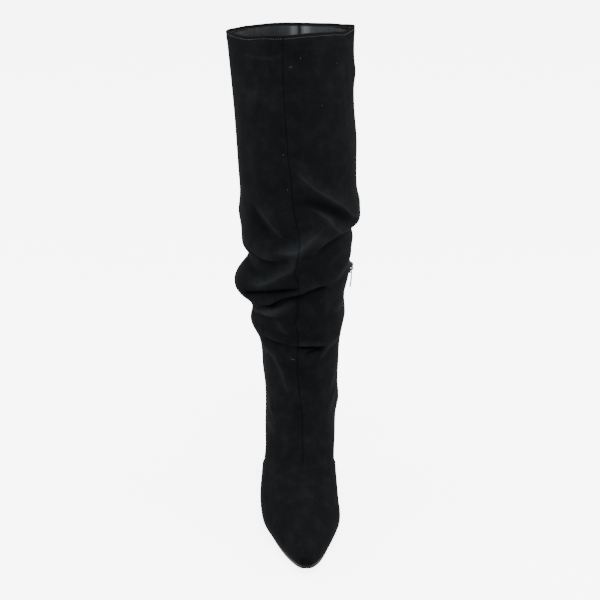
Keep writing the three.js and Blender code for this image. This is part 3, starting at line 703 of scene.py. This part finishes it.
SEAM_SHADOW, SEAM_WIDTH = 0.75, 0.55
seam_dark = on_shaft * bell(to_front_seam / MM, SEAM_WIDTH)
seam_dark += (height > BACK_SEAM_FROM) * bell(to_back_seam / MM, SEAM_WIDTH)
seam_dark *= SEAM_SHADOW
# The suede's painted highlights and painted shade, carried over all levels
nap_and_light_levels = over_all_levels(nap_and_painted_light)

# Painted highlight on the lining beside its back seam, wider on the inner side than on the outer one, and
# none on the seam line itself
HIGHLIGHT_AT, HIGHLIGHT_WIDE = 6, 4.5
INNER_HIGHLIGHT, INNER_HIGHLIGHT_WIDE = 0.3, 42
OUTER_HIGHLIGHT, OUTER_HIGHLIGHT_WIDE = 0.12, 30
UNLIT_SEAM, UNLIT_SEAM_WIDE = 0.5, 1.8
seam_side = to_back_seam[-1] / MM
inner_side = bearing_of(base[-1]) > 60
lining_highlight = bell(seam_side - HIGHLIGHT_AT, HIGHLIGHT_WIDE) - UNLIT_SEAM * bell(seam_side, UNLIT_SEAM_WIDE)
lining_highlight += inner_side * INNER_HIGHLIGHT * np.exp(-((seam_side / INNER_HIGHLIGHT_WIDE) ** 4))
lining_highlight += ~inner_side * OUTER_HIGHLIGHT * bell(seam_side, OUTER_HIGHLIGHT_WIDE)
nap_and_light_levels[first_inner:-1] = lining_highlight
# Painted light: this holds the suede's painted highlights and shade and the lining's painted highlight
record(suede, "nap_and_painted_light", nap_and_light_levels)
record(suede, "fold", over_all_levels(push))
record(suede, "seam", over_all_levels(np.clip(seam_dark, 0, 1)))
lining_levels = np.zeros((len(levels), COLUMNS))
lining_levels[first_inner + 1:] = 1
record(suede, "lining", lining_levels)

# The opening under the foot and the slot for the zip are cut through both faces. The edge of each, the
# foot's first and then the slot's, is closed with a turned-in strip.
centres = np.empty(len(suede.data.polygons) * 3)
suede.data.polygons.foreach_get("center", centres)
centres = centres.reshape(-1, 3)
face_column = np.arange(len(centres)) % COLUMNS
face_level = np.arange(len(centres)) // COLUMNS
row_of_level = np.concatenate([[0], np.arange(len(rows)), np.full(len(rim_rows), len(rows) - 1),
                               np.arange(len(rows))[::-1][::INNER_STRIDE], [0]])
open_corner = under[row_of_level]
open_corner = open_corner & np.roll(open_corner, -1, axis=1)
opening = (open_corner[:-1] & open_corner[1:])[face_level, face_column]
cut = (face_column >= FIRST_ZIP_COLUMN) & (face_column < LAST_ZIP_COLUMN)
cut &= (centres[:, 2] > zip_foot) & (centres[:, 2] < zip_top) & (centres[:, 0] > MIDLINE_X)
bpy.ops.object.mode_set(mode="EDIT")
bpy.ops.mesh.select_mode(type="FACE")
bpy.ops.mesh.select_all(action="DESELECT")
bpy.ops.object.mode_set(mode="OBJECT")
suede.data.polygons.foreach_set("select", cut | opening)
suede.data.update()
bpy.ops.object.mode_set(mode="EDIT")
bpy.ops.mesh.delete(type="FACE")
bpy.ops.mesh.select_all(action="SELECT")
bpy.ops.mesh.remove_doubles(threshold=1e-6)
bpy.ops.mesh.select_mode(type="EDGE")
SLOT_RIGHT_OF = MIDLINE_X + 20 * MM
SLOT_ABOVE = zip_foot - 10 * MM
for is_slot in (False, True):
    bpy.ops.mesh.select_all(action="DESELECT")
    bpy.ops.mesh.select_non_manifold(
        extend=False, use_wire=False, use_multi_face=False, use_non_contiguous=False, use_verts=False,
    )
    bpy.ops.object.mode_set(mode="OBJECT")
    for edge in suede.data.edges:
        end = suede.data.vertices[edge.vertices[0]].co
        edge.select = edge.select and (end.x > SLOT_RIGHT_OF and end.z > SLOT_ABOVE) == is_slot
    bpy.ops.object.mode_set(mode="EDIT")
    bpy.ops.mesh.bridge_edge_loops()
bpy.ops.mesh.select_all(action="SELECT")
bpy.ops.mesh.normals_make_consistent(inside=False)
bpy.ops.object.mode_set(mode="OBJECT")
bpy.ops.object.shade_smooth()

# Micro-suede: a knitted base with a dense cut nap, dyed black. It drinks the light where it is seen square
# on and glows a little where it turns away. Its colour has painted highlights on the folds' crests and
# painted shade in their hollows and crease lines, besides patches and lines of paler nap.
suede_paint, tree, surface = new_material("black_micro_suede", {
    "Roughness": 0.95,
    "Specular IOR Level": 0.02,
    "Sheen Weight": 0.03,
    "Sheen Roughness": 0.35,
    "Sheen Tint": shade("#8d9095"),
})
place = add(tree, "ShaderNodeTexCoord").outputs["Object"]
NAP_GRAIN = 1 / (0.9 * MM)
PATCH = 1 / (15 * MM)
nap = add(tree, "ShaderNodeTexNoise", {
    "Vector": place, "Scale": NAP_GRAIN, "Detail": 3.0, "Roughness": 0.6,
})
brushed = add(tree, "ShaderNodeTexNoise", {
    "Vector": place, "Scale": PATCH, "Detail": 5.0, "Roughness": 0.68,
})
# Painted highlights along crests and painted shade along crease lines, with the paler nap of pale lines
crest_light_and_nap = add(tree, "ShaderNodeAttribute", attribute_name="nap_and_painted_light").outputs["Fac"]
folded = add(tree, "ShaderNodeAttribute", attribute_name="fold").outputs["Fac"]
seamed = add(tree, "ShaderNodeAttribute", attribute_name="seam").outputs["Fac"]
# Painted shade and light: darker where a fold sinks, paler where it swells
fold_shading = add(tree, "ShaderNodeMapRange", {
    "Value": folded, "From Min": -3.0, "From Max": 3.0, "To Min": -0.22, "To Max": 0.22,
})
paleness = fold_shading.outputs["Result"]
for cause, weight in ((brushed.outputs["Fac"], 0.55), (nap.outputs["Fac"], 0.26), (crest_light_and_nap, 0.3)):
    together = add(tree, "ShaderNodeMath", {0: cause, 1: weight, 2: paleness}, operation="MULTIPLY_ADD")
    paleness = together.outputs["Value"]
tone = add(tree, "ShaderNodeValToRGB", {"Fac": paleness})
tone.color_ramp.elements[0].position = 0.0
tone.color_ramp.elements[0].color = shade("#020203")
tone.color_ramp.elements[1].position = 1.0
tone.color_ramp.elements[1].color = shade("#1c1e20")
middle_tone = tone.color_ramp.elements.new(0.4)
middle_tone.color = shade("#0a0b0c")
seam_shadow = mix_colours(tree, seamed, tone.outputs["Color"], shade("#050505"))
tree.links.new(seam_shadow, surface.inputs["Base Color"])
add_bump(tree, surface, nap.outputs["Fac"], 0.5, 0.25 * MM)

# Lining: polyurethane-coated cloth, black and slightly glossy, bonded to the inside of the suede
lining_paint, tree, surface = new_material("coated_lining", {
    "Roughness": 0.3,
    "Coat Weight": 0.2,
    "Coat Roughness": 0.25,
})
place = add(tree, "ShaderNodeTexCoord").outputs["Object"]
grain = add(tree, "ShaderNodeTexVoronoi", {"Vector": place, "Scale": 1 / (1.1 * MM)}, feature="SMOOTH_F1")
sag_map = add(tree, "ShaderNodeMapping", {"Vector": place, "Scale": (1.0, 1.0, 0.18)})
sag_place = sag_map.outputs["Vector"]
sagging = add(tree, "ShaderNodeTexNoise", {"Vector": sag_place, "Scale": 1 / (14 * MM), "Detail": 3.0})
grain_bump = add_bump(tree, surface, grain.outputs["Distance"], 0.25, 0.15 * MM)
add_bump(tree, surface, sagging.outputs["Fac"], 0.9, 3 * MM, grain_bump)
# Painted highlight: the lining is painted pale grey in vertical streaks beside its back seam
sheen_streaks = add(tree, "ShaderNodeTexNoise", {"Vector": sag_place, "Scale": 1 / (7 * MM), "Detail": 2.0})
wear_and_sheen = add(tree, "ShaderNodeAttribute", attribute_name="nap_and_painted_light").outputs["Fac"]
lining_sheen = add(tree, "ShaderNodeMath", {0: wear_and_sheen, 1: sheen_streaks.outputs["Fac"]}, operation="MULTIPLY")
cloth = mix_colours(tree, lining_sheen.outputs["Value"], shade("#121417"), shade("#606469"))
tree.links.new(cloth, surface.inputs["Base Color"])

suede.data.materials.append(suede_paint)
suede.data.materials.append(lining_paint)
lining_corner = np.empty(len(suede.data.vertices), np.float32)
suede.data.attributes["lining"].data.foreach_get("value", lining_corner)
is_lining = [int(all(lining_corner[v] > 0.5 for v in face.vertices)) for face in suede.data.polygons]
suede.data.polygons.foreach_set("material_index", is_lining)
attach(suede, "boot")
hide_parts("upper")

# Collar stitches. One row of pale grey thread holds the turned edge all the way round, and shows as short
# straight stitches on the suede and again on the lining.
STITCH_PITCH = 2.4 * MM
STITCH_LENGTH = 0.9 * MM
STITCH_THICK = 0.5 * MM
STITCH_PROUD = 0.05 * MM


def copies_of(template, name, frames):
    """One mesh that holds a copy of the template at each frame of three directions and a place."""
    points = np.array([v.co for v in template.data.vertices])
    faces = [tuple(f.vertices) for f in template.data.polygons]
    all_points = []
    all_faces = []
    for k, (side, along, out, where) in enumerate(frames):
        turned = points @ np.array([side, along, out]) + where
        all_points.extend(turned.tolist())
        all_faces.extend([tuple(v + k * len(points) for v in face) for face in faces])
    made = bpy.data.meshes.new(name)
    made.from_pydata(all_points, [], all_faces)
    made.update()
    piece = bpy.data.objects.new(name, made)
    bpy.context.scene.collection.objects.link(piece)
    bpy.data.objects.remove(template)
    return piece


def select_only(piece):
    bpy.ops.object.select_all(action="DESELECT")
    piece.select_set(True)
    bpy.context.view_layer.objects.active = piece


def apply_modifier(piece, kind, **settings):
    select_only(piece)
    modifier = piece.modifiers.new(kind.title(), kind)
    for name, value in settings.items():
        setattr(modifier, name, value)
    bpy.ops.object.modifier_apply(modifier=modifier.name)


def settle(piece):
    """Puts a primitive's place, turn and size into its mesh."""
    select_only(piece)
    bpy.ops.object.transform_apply(location=True, rotation=True, scale=True)


def unit(vectors):
    return vectors / np.maximum(np.linalg.norm(vectors, axis=-1, keepdims=True), 1e-12)


def stitch_template():
    bpy.ops.object.select_all(action="DESELECT")
    bpy.ops.mesh.primitive_cylinder_add(
        vertices=6, radius=STITCH_THICK / 2, depth=STITCH_LENGTH, rotation=(0, math.pi / 2, 0),
    )
    stitch = bpy.context.object
    settle(stitch)
    apply_modifier(stitch, "BEVEL", width=STITCH_THICK / 4, segments=1)
    return stitch


def stitch_frames(face, down, inward):
    """Frames of the stitches on the outer or the inner face, a little below the collar's edge."""
    line = np.empty((COLUMNS, 3))
    outs = np.empty((COLUMNS, 3))
    normals = normals_of(face) * (-1 if inward else 1)
    for j in range(COLUMNS):
        for axis in range(3):
            line[j, axis] = np.interp(down, from_rim[::-1, j], face[::-1, j, axis])
            outs[j, axis] = np.interp(down, from_rim[::-1, j], normals[::-1, j, axis])
    line = np.concatenate([line, line[:1]])
    outs = np.concatenate([outs, outs[:1]])
    run = np.concatenate([[0], np.cumsum(np.linalg.norm(np.diff(line, axis=0), axis=1))])
    places = np.arange(STITCH_PITCH / 2, run[-1], STITCH_PITCH)
    at = np.stack([np.interp(places, run, line[:, axis]) for axis in range(3)], axis=1)
    ahead = np.stack([np.interp(places + 0.5 * MM, run, line[:, axis]) for axis in range(3)], axis=1)
    out = unit(np.stack([np.interp(places, run, outs[:, axis]) for axis in range(3)], axis=1))
    along = unit(ahead - at)
    middle = at + out * STITCH_PROUD
    return [(along[k], np.cross(out[k], along[k]), out[k], middle[k]) for k in range(len(at))]


# Thread: spun polyester, waxed, dark grey
thread_paint, tree, surface = new_material("waxed_polyester_thread", {
    "Base Color": shade("#40403f"),
    "Roughness": 0.6,
})
collar_stitches = copies_of(
    stitch_template(), "collar_stitches",
    stitch_frames(skin, HEM_STITCH * MM, False) + stitch_frames(inner_skin, HEM_STITCH * MM, True),
)
collar_stitches.data.materials.append(thread_paint)
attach(collar_stitches, "boot")

# Lint. A few pale fibres caught in the nap, and one short loose thread above the ankle, each lying on the
# skin at a bearing in degrees and a height in mm, with its length in mm and its slant in degrees.
LINT = [
    # bearing, height, long, slant
    (0, 475, 1.8, 80), (-10, 468, 1.8, 35), (-8, 469, 1.5, 105), (45, 468, 1.2, 20),
    (-11, 352, 1.4, 60), (-15, 385, 1.4, 10), (22, 431, 1.3, 40), (-9, 170, 5.2, -8),
]
LINT_THICK = 0.3 * MM
LINT_PROUD = 0.12 * MM


def nearest_corner(face, where, up):
    """Row and column of a skin's corner at a bearing and a height."""
    apart = np.hypot((bearing_of(face) - where) * MM_PER_DEGREE, face[..., 2] / MM - up)
    return np.unravel_index(np.argmin(apart), apart.shape)


bpy.ops.object.select_all(action="DESELECT")
bpy.ops.mesh.primitive_cylinder_add(
    vertices=6, radius=LINT_THICK / 2, depth=MM, rotation=(0, math.pi / 2, 0),
)
fibre = bpy.context.object
settle(fibre)
skin_normals = normals_of(skin)
lint_frames = []
for where, up, long, slant in LINT:
    i, j = nearest_corner(skin, where, up)
    out = skin_normals[i, j]
    slant = math.radians(slant)
    level_way = unit(np.cross(np.array([0, 0, 1.0]), out))
    lie = level_way * math.cos(slant) + np.cross(out, level_way) * math.sin(slant)
    lint_frames.append((lie * long, np.cross(out, lie), out, skin[i, j] + out * LINT_PROUD))
lint = copies_of(fibre, "lint_fibres", lint_frames)
# Lint: bleached cotton fluff, greyed by the nap that it lies in
lint_paint, tree, surface = new_material("pale_lint", {"Base Color": shade("#3a3c3f"), "Roughness": 0.9})
lint.data.materials.append(lint_paint)
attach(lint, "boot")


# Zip. A short nylon coil zip on the inner side, sewn in behind the suede: two woven tapes, and a coil of
# black nylon whose turns lock across the middle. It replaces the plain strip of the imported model.
up_the_zip = skin[:, FIRST_ZIP_COLUMN, 2]
beside_zip = (up_the_zip > zip_foot - TAPE_END) & (up_the_zip < zip_top + TAPE_END)
in_rows = np.where(beside_zip & (np.arange(len(rows)) > vamp_row))[0]
TAPE_COLUMNS = slice(FIRST_ZIP_COLUMN - 5, LAST_ZIP_COLUMN + 6)
TAPE_THICKNESS = 0.7 * MM
TAPE_CLEAR = 0.35 * MM
tape_face = (inner_skin - outward * TAPE_CLEAR)[in_rows, TAPE_COLUMNS]
bpy.ops.object.select_all(action="DESELECT")
bpy.ops.mesh.primitive_grid_add(
    x_subdivisions=tape_face.shape[1] - 1, y_subdivisions=tape_face.shape[0] - 1, size=1,
)
tape = bpy.context.object
tape.name = "zip_tape_woven"
tape.data.vertices.foreach_set("co", tape_face.reshape(-1).astype(np.float32))
tape.data.update()
bpy.ops.object.mode_set(mode="EDIT")
bpy.ops.mesh.select_all(action="SELECT")
bpy.ops.mesh.normals_make_consistent(inside=False)
bpy.ops.object.mode_set(mode="OBJECT")
if tape.data.polygons[0].normal.x < 0:
    tape.data.flip_normals()
apply_modifier(tape, "SOLIDIFY", thickness=TAPE_THICKNESS, offset=-1)
bpy.ops.object.shade_smooth_by_angle(angle=math.radians(40))
# Tape: tightly woven polyester, dyed black
tape_paint, tree, surface = new_material("woven_polyester_tape", {
    "Base Color": shade("#0b0b0c"),
    "Roughness": 0.8,
    "Specular IOR Level": 0.1,
})
place = add(tree, "ShaderNodeTexCoord").outputs["Object"]
weave = add(
    tree, "ShaderNodeTexWave", {"Vector": place, "Scale": 1 / (2.2 * MM), "Distortion": 0.4},
    bands_direction="Z",
)
add_bump(tree, surface, weave.outputs["Fac"], 0.6, 0.2 * MM)
tape.data.materials.append(tape_paint)

COIL_PITCH = 1.5 * MM
TURN_SIZE = (3.4 * MM, 0.85 * MM, 1.1 * MM)
TURN_SINK = 0.75 * MM
TURN_ASIDE = 0.55 * MM
COIL_UNDER_SLIDER = 6 * MM
bpy.ops.object.select_all(action="DESELECT")
bpy.ops.mesh.primitive_cube_add(size=1, scale=TURN_SIZE)
coil_turn = bpy.context.object
settle(coil_turn)
apply_modifier(coil_turn, "BEVEL", width=0.3 * MM, segments=2)
zip_edge_back = skin[in_rows, FIRST_ZIP_COLUMN]
zip_edge_front = skin[in_rows, LAST_ZIP_COLUMN]
chain_line = (zip_edge_back + zip_edge_front) / 2
chain_run = np.concatenate([[0], np.cumsum(np.linalg.norm(np.diff(chain_line, axis=0), axis=1))])


def along_chain(values, places):
    return np.stack([np.interp(places, chain_run, values[:, axis]) for axis in range(3)], axis=1)


slider_bottom_run = np.interp(slider_low.z, chain_line[:, 2], chain_run)
coil_start = TAPE_END + 1.5 * MM
coil_places = np.arange(coil_start, slider_bottom_run + COIL_UNDER_SLIDER, COIL_PITCH / 2)
at = along_chain(chain_line, coil_places)
up = unit(along_chain(chain_line, coil_places + MM) - at)
across = unit(along_chain(zip_edge_front - zip_edge_back, coil_places))
out = unit(np.cross(across, up))
out *= np.sign(out[:, :1])
coil_frames = []
for k in range(len(at)):
    side = across[k] * (1 if k % 2 else -1)
    middle = at[k] - out[k] * TURN_SINK + side * TURN_ASIDE
    coil_frames.append((side, np.cross(out[k], side), out[k], middle))
coil = copies_of(coil_turn, "zip_coil", coil_frames)
select_only(coil)
bpy.ops.object.shade_smooth_by_angle(angle=math.radians(40))
# Coil: nylon monofilament, dyed through, with a slight gloss
nylon_paint, tree, surface = new_material("black_nylon_coil", {
    "Base Color": shade("#0d0d0f"),
    "Roughness": 0.38,
    "Specular IOR Level": 0.2,
})
coil.data.materials.append(nylon_paint)
for piece in (tape, coil):
    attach(piece, "boot")
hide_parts("zip_tape")


# Slider. A die-cast zinc slider in black enamel: a shield-shaped body over the coil, with a low arched
# bail cast on its face, in which the pull hangs.
slider_middle = (slider_low + slider_high) / 2
BODY_THICK = 1.9 * MM
NOSE_WIDTH = 0.72
NOSE_SPAN = (0.15, 0.7)
CAMBER = 0.5 * MM
CAMBER_AT = 4 * MM
bpy.ops.object.select_all(action="DESELECT")
bpy.ops.mesh.primitive_cube_add(
    size=1, location=(slider_low.x + BODY_THICK / 2, slider_middle.y, slider_middle.z),
    scale=(BODY_THICK, slider_high.y - slider_low.y, slider_high.z - slider_low.z),
)
slider_body = bpy.context.object
settle(slider_body)
bpy.ops.object.mode_set(mode="EDIT")
bpy.ops.mesh.select_all(action="SELECT")
bpy.ops.mesh.subdivide(number_cuts=3)
bpy.ops.object.mode_set(mode="OBJECT")
for v in slider_body.data.vertices:
    share = (v.co.z - slider_low.z) / (slider_high.z - slider_low.z)
    v.co.y = slider_middle.y + (v.co.y - slider_middle.y) * (
        NOSE_WIDTH + (1 - NOSE_WIDTH) * smooth_step(*NOSE_SPAN, share)
    )
    if v.co.x > slider_low.x + BODY_THICK * 0.9:
        v.co.x -= CAMBER * (abs(v.co.y - slider_middle.y) / CAMBER_AT) ** 2
apply_modifier(slider_body, "BEVEL", width=0.35 * MM, segments=2)
apply_modifier(slider_body, "SUBSURF", levels=1, render_levels=1)

bpy.ops.object.select_all(action="DESELECT")
PIN_UP = 4.9 * MM
BAIL_REACH = 1.95 * MM
BAIL_TUBE = 0.85 * MM
bail_near = slider_low.x + BODY_THICK - 0.4 * MM
bpy.ops.mesh.primitive_torus_add(
    major_segments=32, minor_segments=12, major_radius=BAIL_REACH, minor_radius=BAIL_TUBE,
    location=(bail_near + 1.2 * MM, slider_middle.y, slider_low.z + PIN_UP), rotation=(math.pi / 2, 0, 0),
)
bail = bpy.context.object
settle(bail)
bpy.ops.object.mode_set(mode="EDIT")
bpy.ops.mesh.select_all(action="SELECT")
bpy.ops.mesh.bisect(plane_co=(bail_near, 0, 0), plane_no=(1, 0, 0), use_fill=True, clear_inner=True)
bpy.ops.object.mode_set(mode="OBJECT")
bail_far = max(v.co.x for v in bail.data.vertices)
for v in bail.data.vertices:
    v.co.x = bail_near + (v.co.x - bail_near) * (slider_high.x - bail_near) / (bail_far - bail_near)

# Crown over the bail's upper root
CROWN = (2.6 * MM, 2.7 * MM, 3.2 * MM)
bpy.ops.object.select_all(action="DESELECT")
bpy.ops.mesh.primitive_uv_sphere_add(
    segments=24, ring_count=12, radius=1, scale=CROWN,
    location=(slider_high.x - 0.2 * MM - CROWN[0], slider_middle.y, slider_high.z - 0.3 * MM - CROWN[2]),
)
crown = bpy.context.object
settle(crown)
select_only(slider_body)
bail.select_set(True)
crown.select_set(True)
bpy.ops.object.join()
slider = bpy.context.object
slider.name = "enamelled_slider"
bpy.ops.object.shade_smooth_by_angle(angle=math.radians(45))
# Enamel: baked black lacquer on zinc, with a few small chips that show the metal
enamel_paint, tree, surface = new_material("black_enamelled_zinc", {
    "Roughness": 0.25,
    "Specular IOR Level": 0.25,
})
place = add(tree, "ShaderNodeTexCoord").outputs["Object"]
chips = add(tree, "ShaderNodeTexNoise", {"Vector": place, "Scale": 1 / (1.6 * MM), "Detail": 2.0})
wear_and_sheen = add(tree, "ShaderNodeMapRange", {"Value": chips.outputs["Fac"], "From Min": 0.62, "From Max": 0.68})
paint_tone = mix_colours(tree, wear_and_sheen.outputs["Result"], shade("#0b0b0c"), shade("#3c3e41"))
tree.links.new(paint_tone, surface.inputs["Base Color"])
slider.data.materials.append(enamel_paint)
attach(slider, "boot")
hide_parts("zip_slider")


# Pull tab. A slim nickel-plated tab, cast with an eye at its head and a little bowed, so that it follows
# the leg. It swings on the bail.
pull_low, pull_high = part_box("zip_pull")
pull_middle = (pull_low + pull_high) / 2
pull_size = pull_high - pull_low
EYE_WIDTH = 3.0 * MM
EYE_LENGTH = 5.4 * MM
HEAD_BAR = 1.1 * MM
HEAD_WIDTH = 0.86
BOW_CUTS = (4 * MM, 9 * MM, 12 * MM)
bpy.ops.object.select_all(action="DESELECT")
bpy.ops.mesh.primitive_cube_add(size=1, location=pull_middle, scale=pull_size)
pull = bpy.context.object
pull.name = "nickel_pull"
settle(pull)
eye_top = pull_high.z - HEAD_BAR
eye_bottom = eye_top - EYE_LENGTH
bpy.ops.object.mode_set(mode="EDIT")
cuts = [((0, 0, up), (0, 0, 1)) for up in (eye_top, eye_bottom)]
cuts += [((0, pull_middle.y + side, 0), (0, 1, 0)) for side in (-EYE_WIDTH / 2, EYE_WIDTH / 2)]
cuts += [((0, 0, eye_bottom - down), (0, 0, 1)) for down in BOW_CUTS]
for where, facing in cuts:
    bpy.ops.mesh.select_all(action="SELECT")
    bpy.ops.mesh.bisect(plane_co=where, plane_no=facing)
bpy.ops.mesh.select_all(action="DESELECT")
bpy.ops.mesh.select_mode(type="FACE")
bpy.ops.object.mode_set(mode="OBJECT")
for face in pull.data.polygons:
    in_eye = abs(face.center.y - pull_middle.y) < EYE_WIDTH / 2 and eye_bottom < face.center.z < eye_top
    face.select = in_eye and abs(face.normal.x) > 0.9
bpy.ops.object.mode_set(mode="EDIT")
bpy.ops.mesh.bridge_edge_loops()
bpy.ops.object.mode_set(mode="OBJECT")
for v in pull.data.vertices:
    down = (pull_high.z - v.co.z) / pull_size.z
    aside = v.co.y - pull_middle.y
    if abs(aside) > EYE_WIDTH * 0.6 and down < 0.5:
        v.co.y = pull_middle.y + aside * HEAD_WIDTH
apply_modifier(pull, "BEVEL", width=0.28 * MM, segments=2, limit_method="ANGLE")
apply_modifier(pull, "SUBSURF", levels=2, render_levels=2)
BOW = 1.3 * MM
for v in pull.data.vertices:
    down = max((eye_bottom - v.co.z) / (eye_bottom - pull_low.z), 0)
    v.co.x -= BOW * down ** 2
select_only(pull)
bpy.ops.object.shade_smooth_by_angle(angle=math.radians(50))
# Nickel: a bright plated coat on zinc, hazed by handling
nickel_paint, tree, surface = new_material("nickel_plated_zinc", {
    "Base Color": shade("#505255"),
    "Metallic": 1.0,
})
place = add(tree, "ShaderNodeTexCoord").outputs["Object"]
rubs = add(tree, "ShaderNodeTexNoise", {"Vector": place, "Scale": 1 / (2.0 * MM), "Detail": 4.0})
haze = add(tree, "ShaderNodeMapRange", {"Value": rubs.outputs["Fac"], "To Min": 0.18, "To Max": 0.36})
tree.links.new(haze.outputs["Result"], surface.inputs["Roughness"])
pull.data.materials.append(nickel_paint)
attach(pull, "pull")
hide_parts("zip_pull")


# Sole, heel and top piece. A thin black rubber unit sole, a block heel covered in the suede of the upper,
# and a hard rubber top piece that is pinned under it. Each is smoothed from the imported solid.
def smoothed_copy(node, name, edge, levels):
    """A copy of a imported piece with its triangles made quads, its edges rounded and its outline even."""
    piece = bpy.data.objects.new(name, frame["nodes"][node].data.copy())
    bpy.context.scene.collection.objects.link(piece)
    piece.data.materials.clear()
    select_only(piece)
    bpy.ops.object.mode_set(mode="EDIT")
    bpy.ops.mesh.select_all(action="SELECT")
    bpy.ops.mesh.remove_doubles(threshold=0.01 * MM)
    bpy.ops.mesh.tris_convert_to_quads(face_threshold=math.radians(40), shape_threshold=math.radians(60))
    bpy.ops.object.mode_set(mode="OBJECT")
    apply_modifier(
        piece, "BEVEL", width=edge, segments=2, limit_method="ANGLE", angle_limit=math.radians(40),
    )
    apply_modifier(piece, "SUBSURF", levels=levels, render_levels=levels)
    bpy.ops.object.shade_smooth_by_angle(angle=math.radians(40))
    return piece


# Rubber: moulded thermoplastic rubber, matt black, with a fine pebble
rubber_paint, tree, surface = new_material("black_thermoplastic_rubber", {
    "Base Color": shade("#0a0a0b"),
    "Roughness": 0.55,
    "Specular IOR Level": 0.15,
})
place = add(tree, "ShaderNodeTexCoord").outputs["Object"]
pebble = add(tree, "ShaderNodeTexVoronoi", {"Vector": place, "Scale": 1 / (1.3 * MM)})
add_bump(tree, surface, pebble.outputs["Distance"], 0.35, 0.2 * MM)
outsole = smoothed_copy("outsole", "rubber_outsole", 0.5 * MM, 1)
outsole.data.materials.append(rubber_paint)
top_piece = smoothed_copy("heel_top_piece", "rubber_top_piece", 0.5 * MM, 1)
top_piece.data.materials.append(rubber_paint)
heel = smoothed_copy("heel", "covered_heel", 0.6 * MM, 2)
heel.data.materials.append(suede_paint)
for piece, node, slot in (
    (outsole, "outsole", "sole_rubber"),
    (top_piece, "heel_top_piece", "sole_rubber"),
    (heel, "heel", "suede"),
):
    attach(piece, "boot")
    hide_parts(node)


# Insole. A fibre board covered with a brushed sock lining, dark grey and soft underfoot. Only its heel
# end can be seen, down the shaft.
sock_paint, tree, surface = new_material("brushed_sock_lining", {
    "Base Color": shade("#1c1c1d"),
    "Roughness": 0.85,
})
place = add(tree, "ShaderNodeTexCoord").outputs["Object"]
fluff = add(tree, "ShaderNodeTexNoise", {"Vector": place, "Scale": 1 / (1.2 * MM), "Detail": 3.0})
add_bump(tree, surface, fluff.outputs["Fac"], 0.5, 0.3 * MM)
frame["nodes"]["insole"].material_slots[0].material = sock_paint
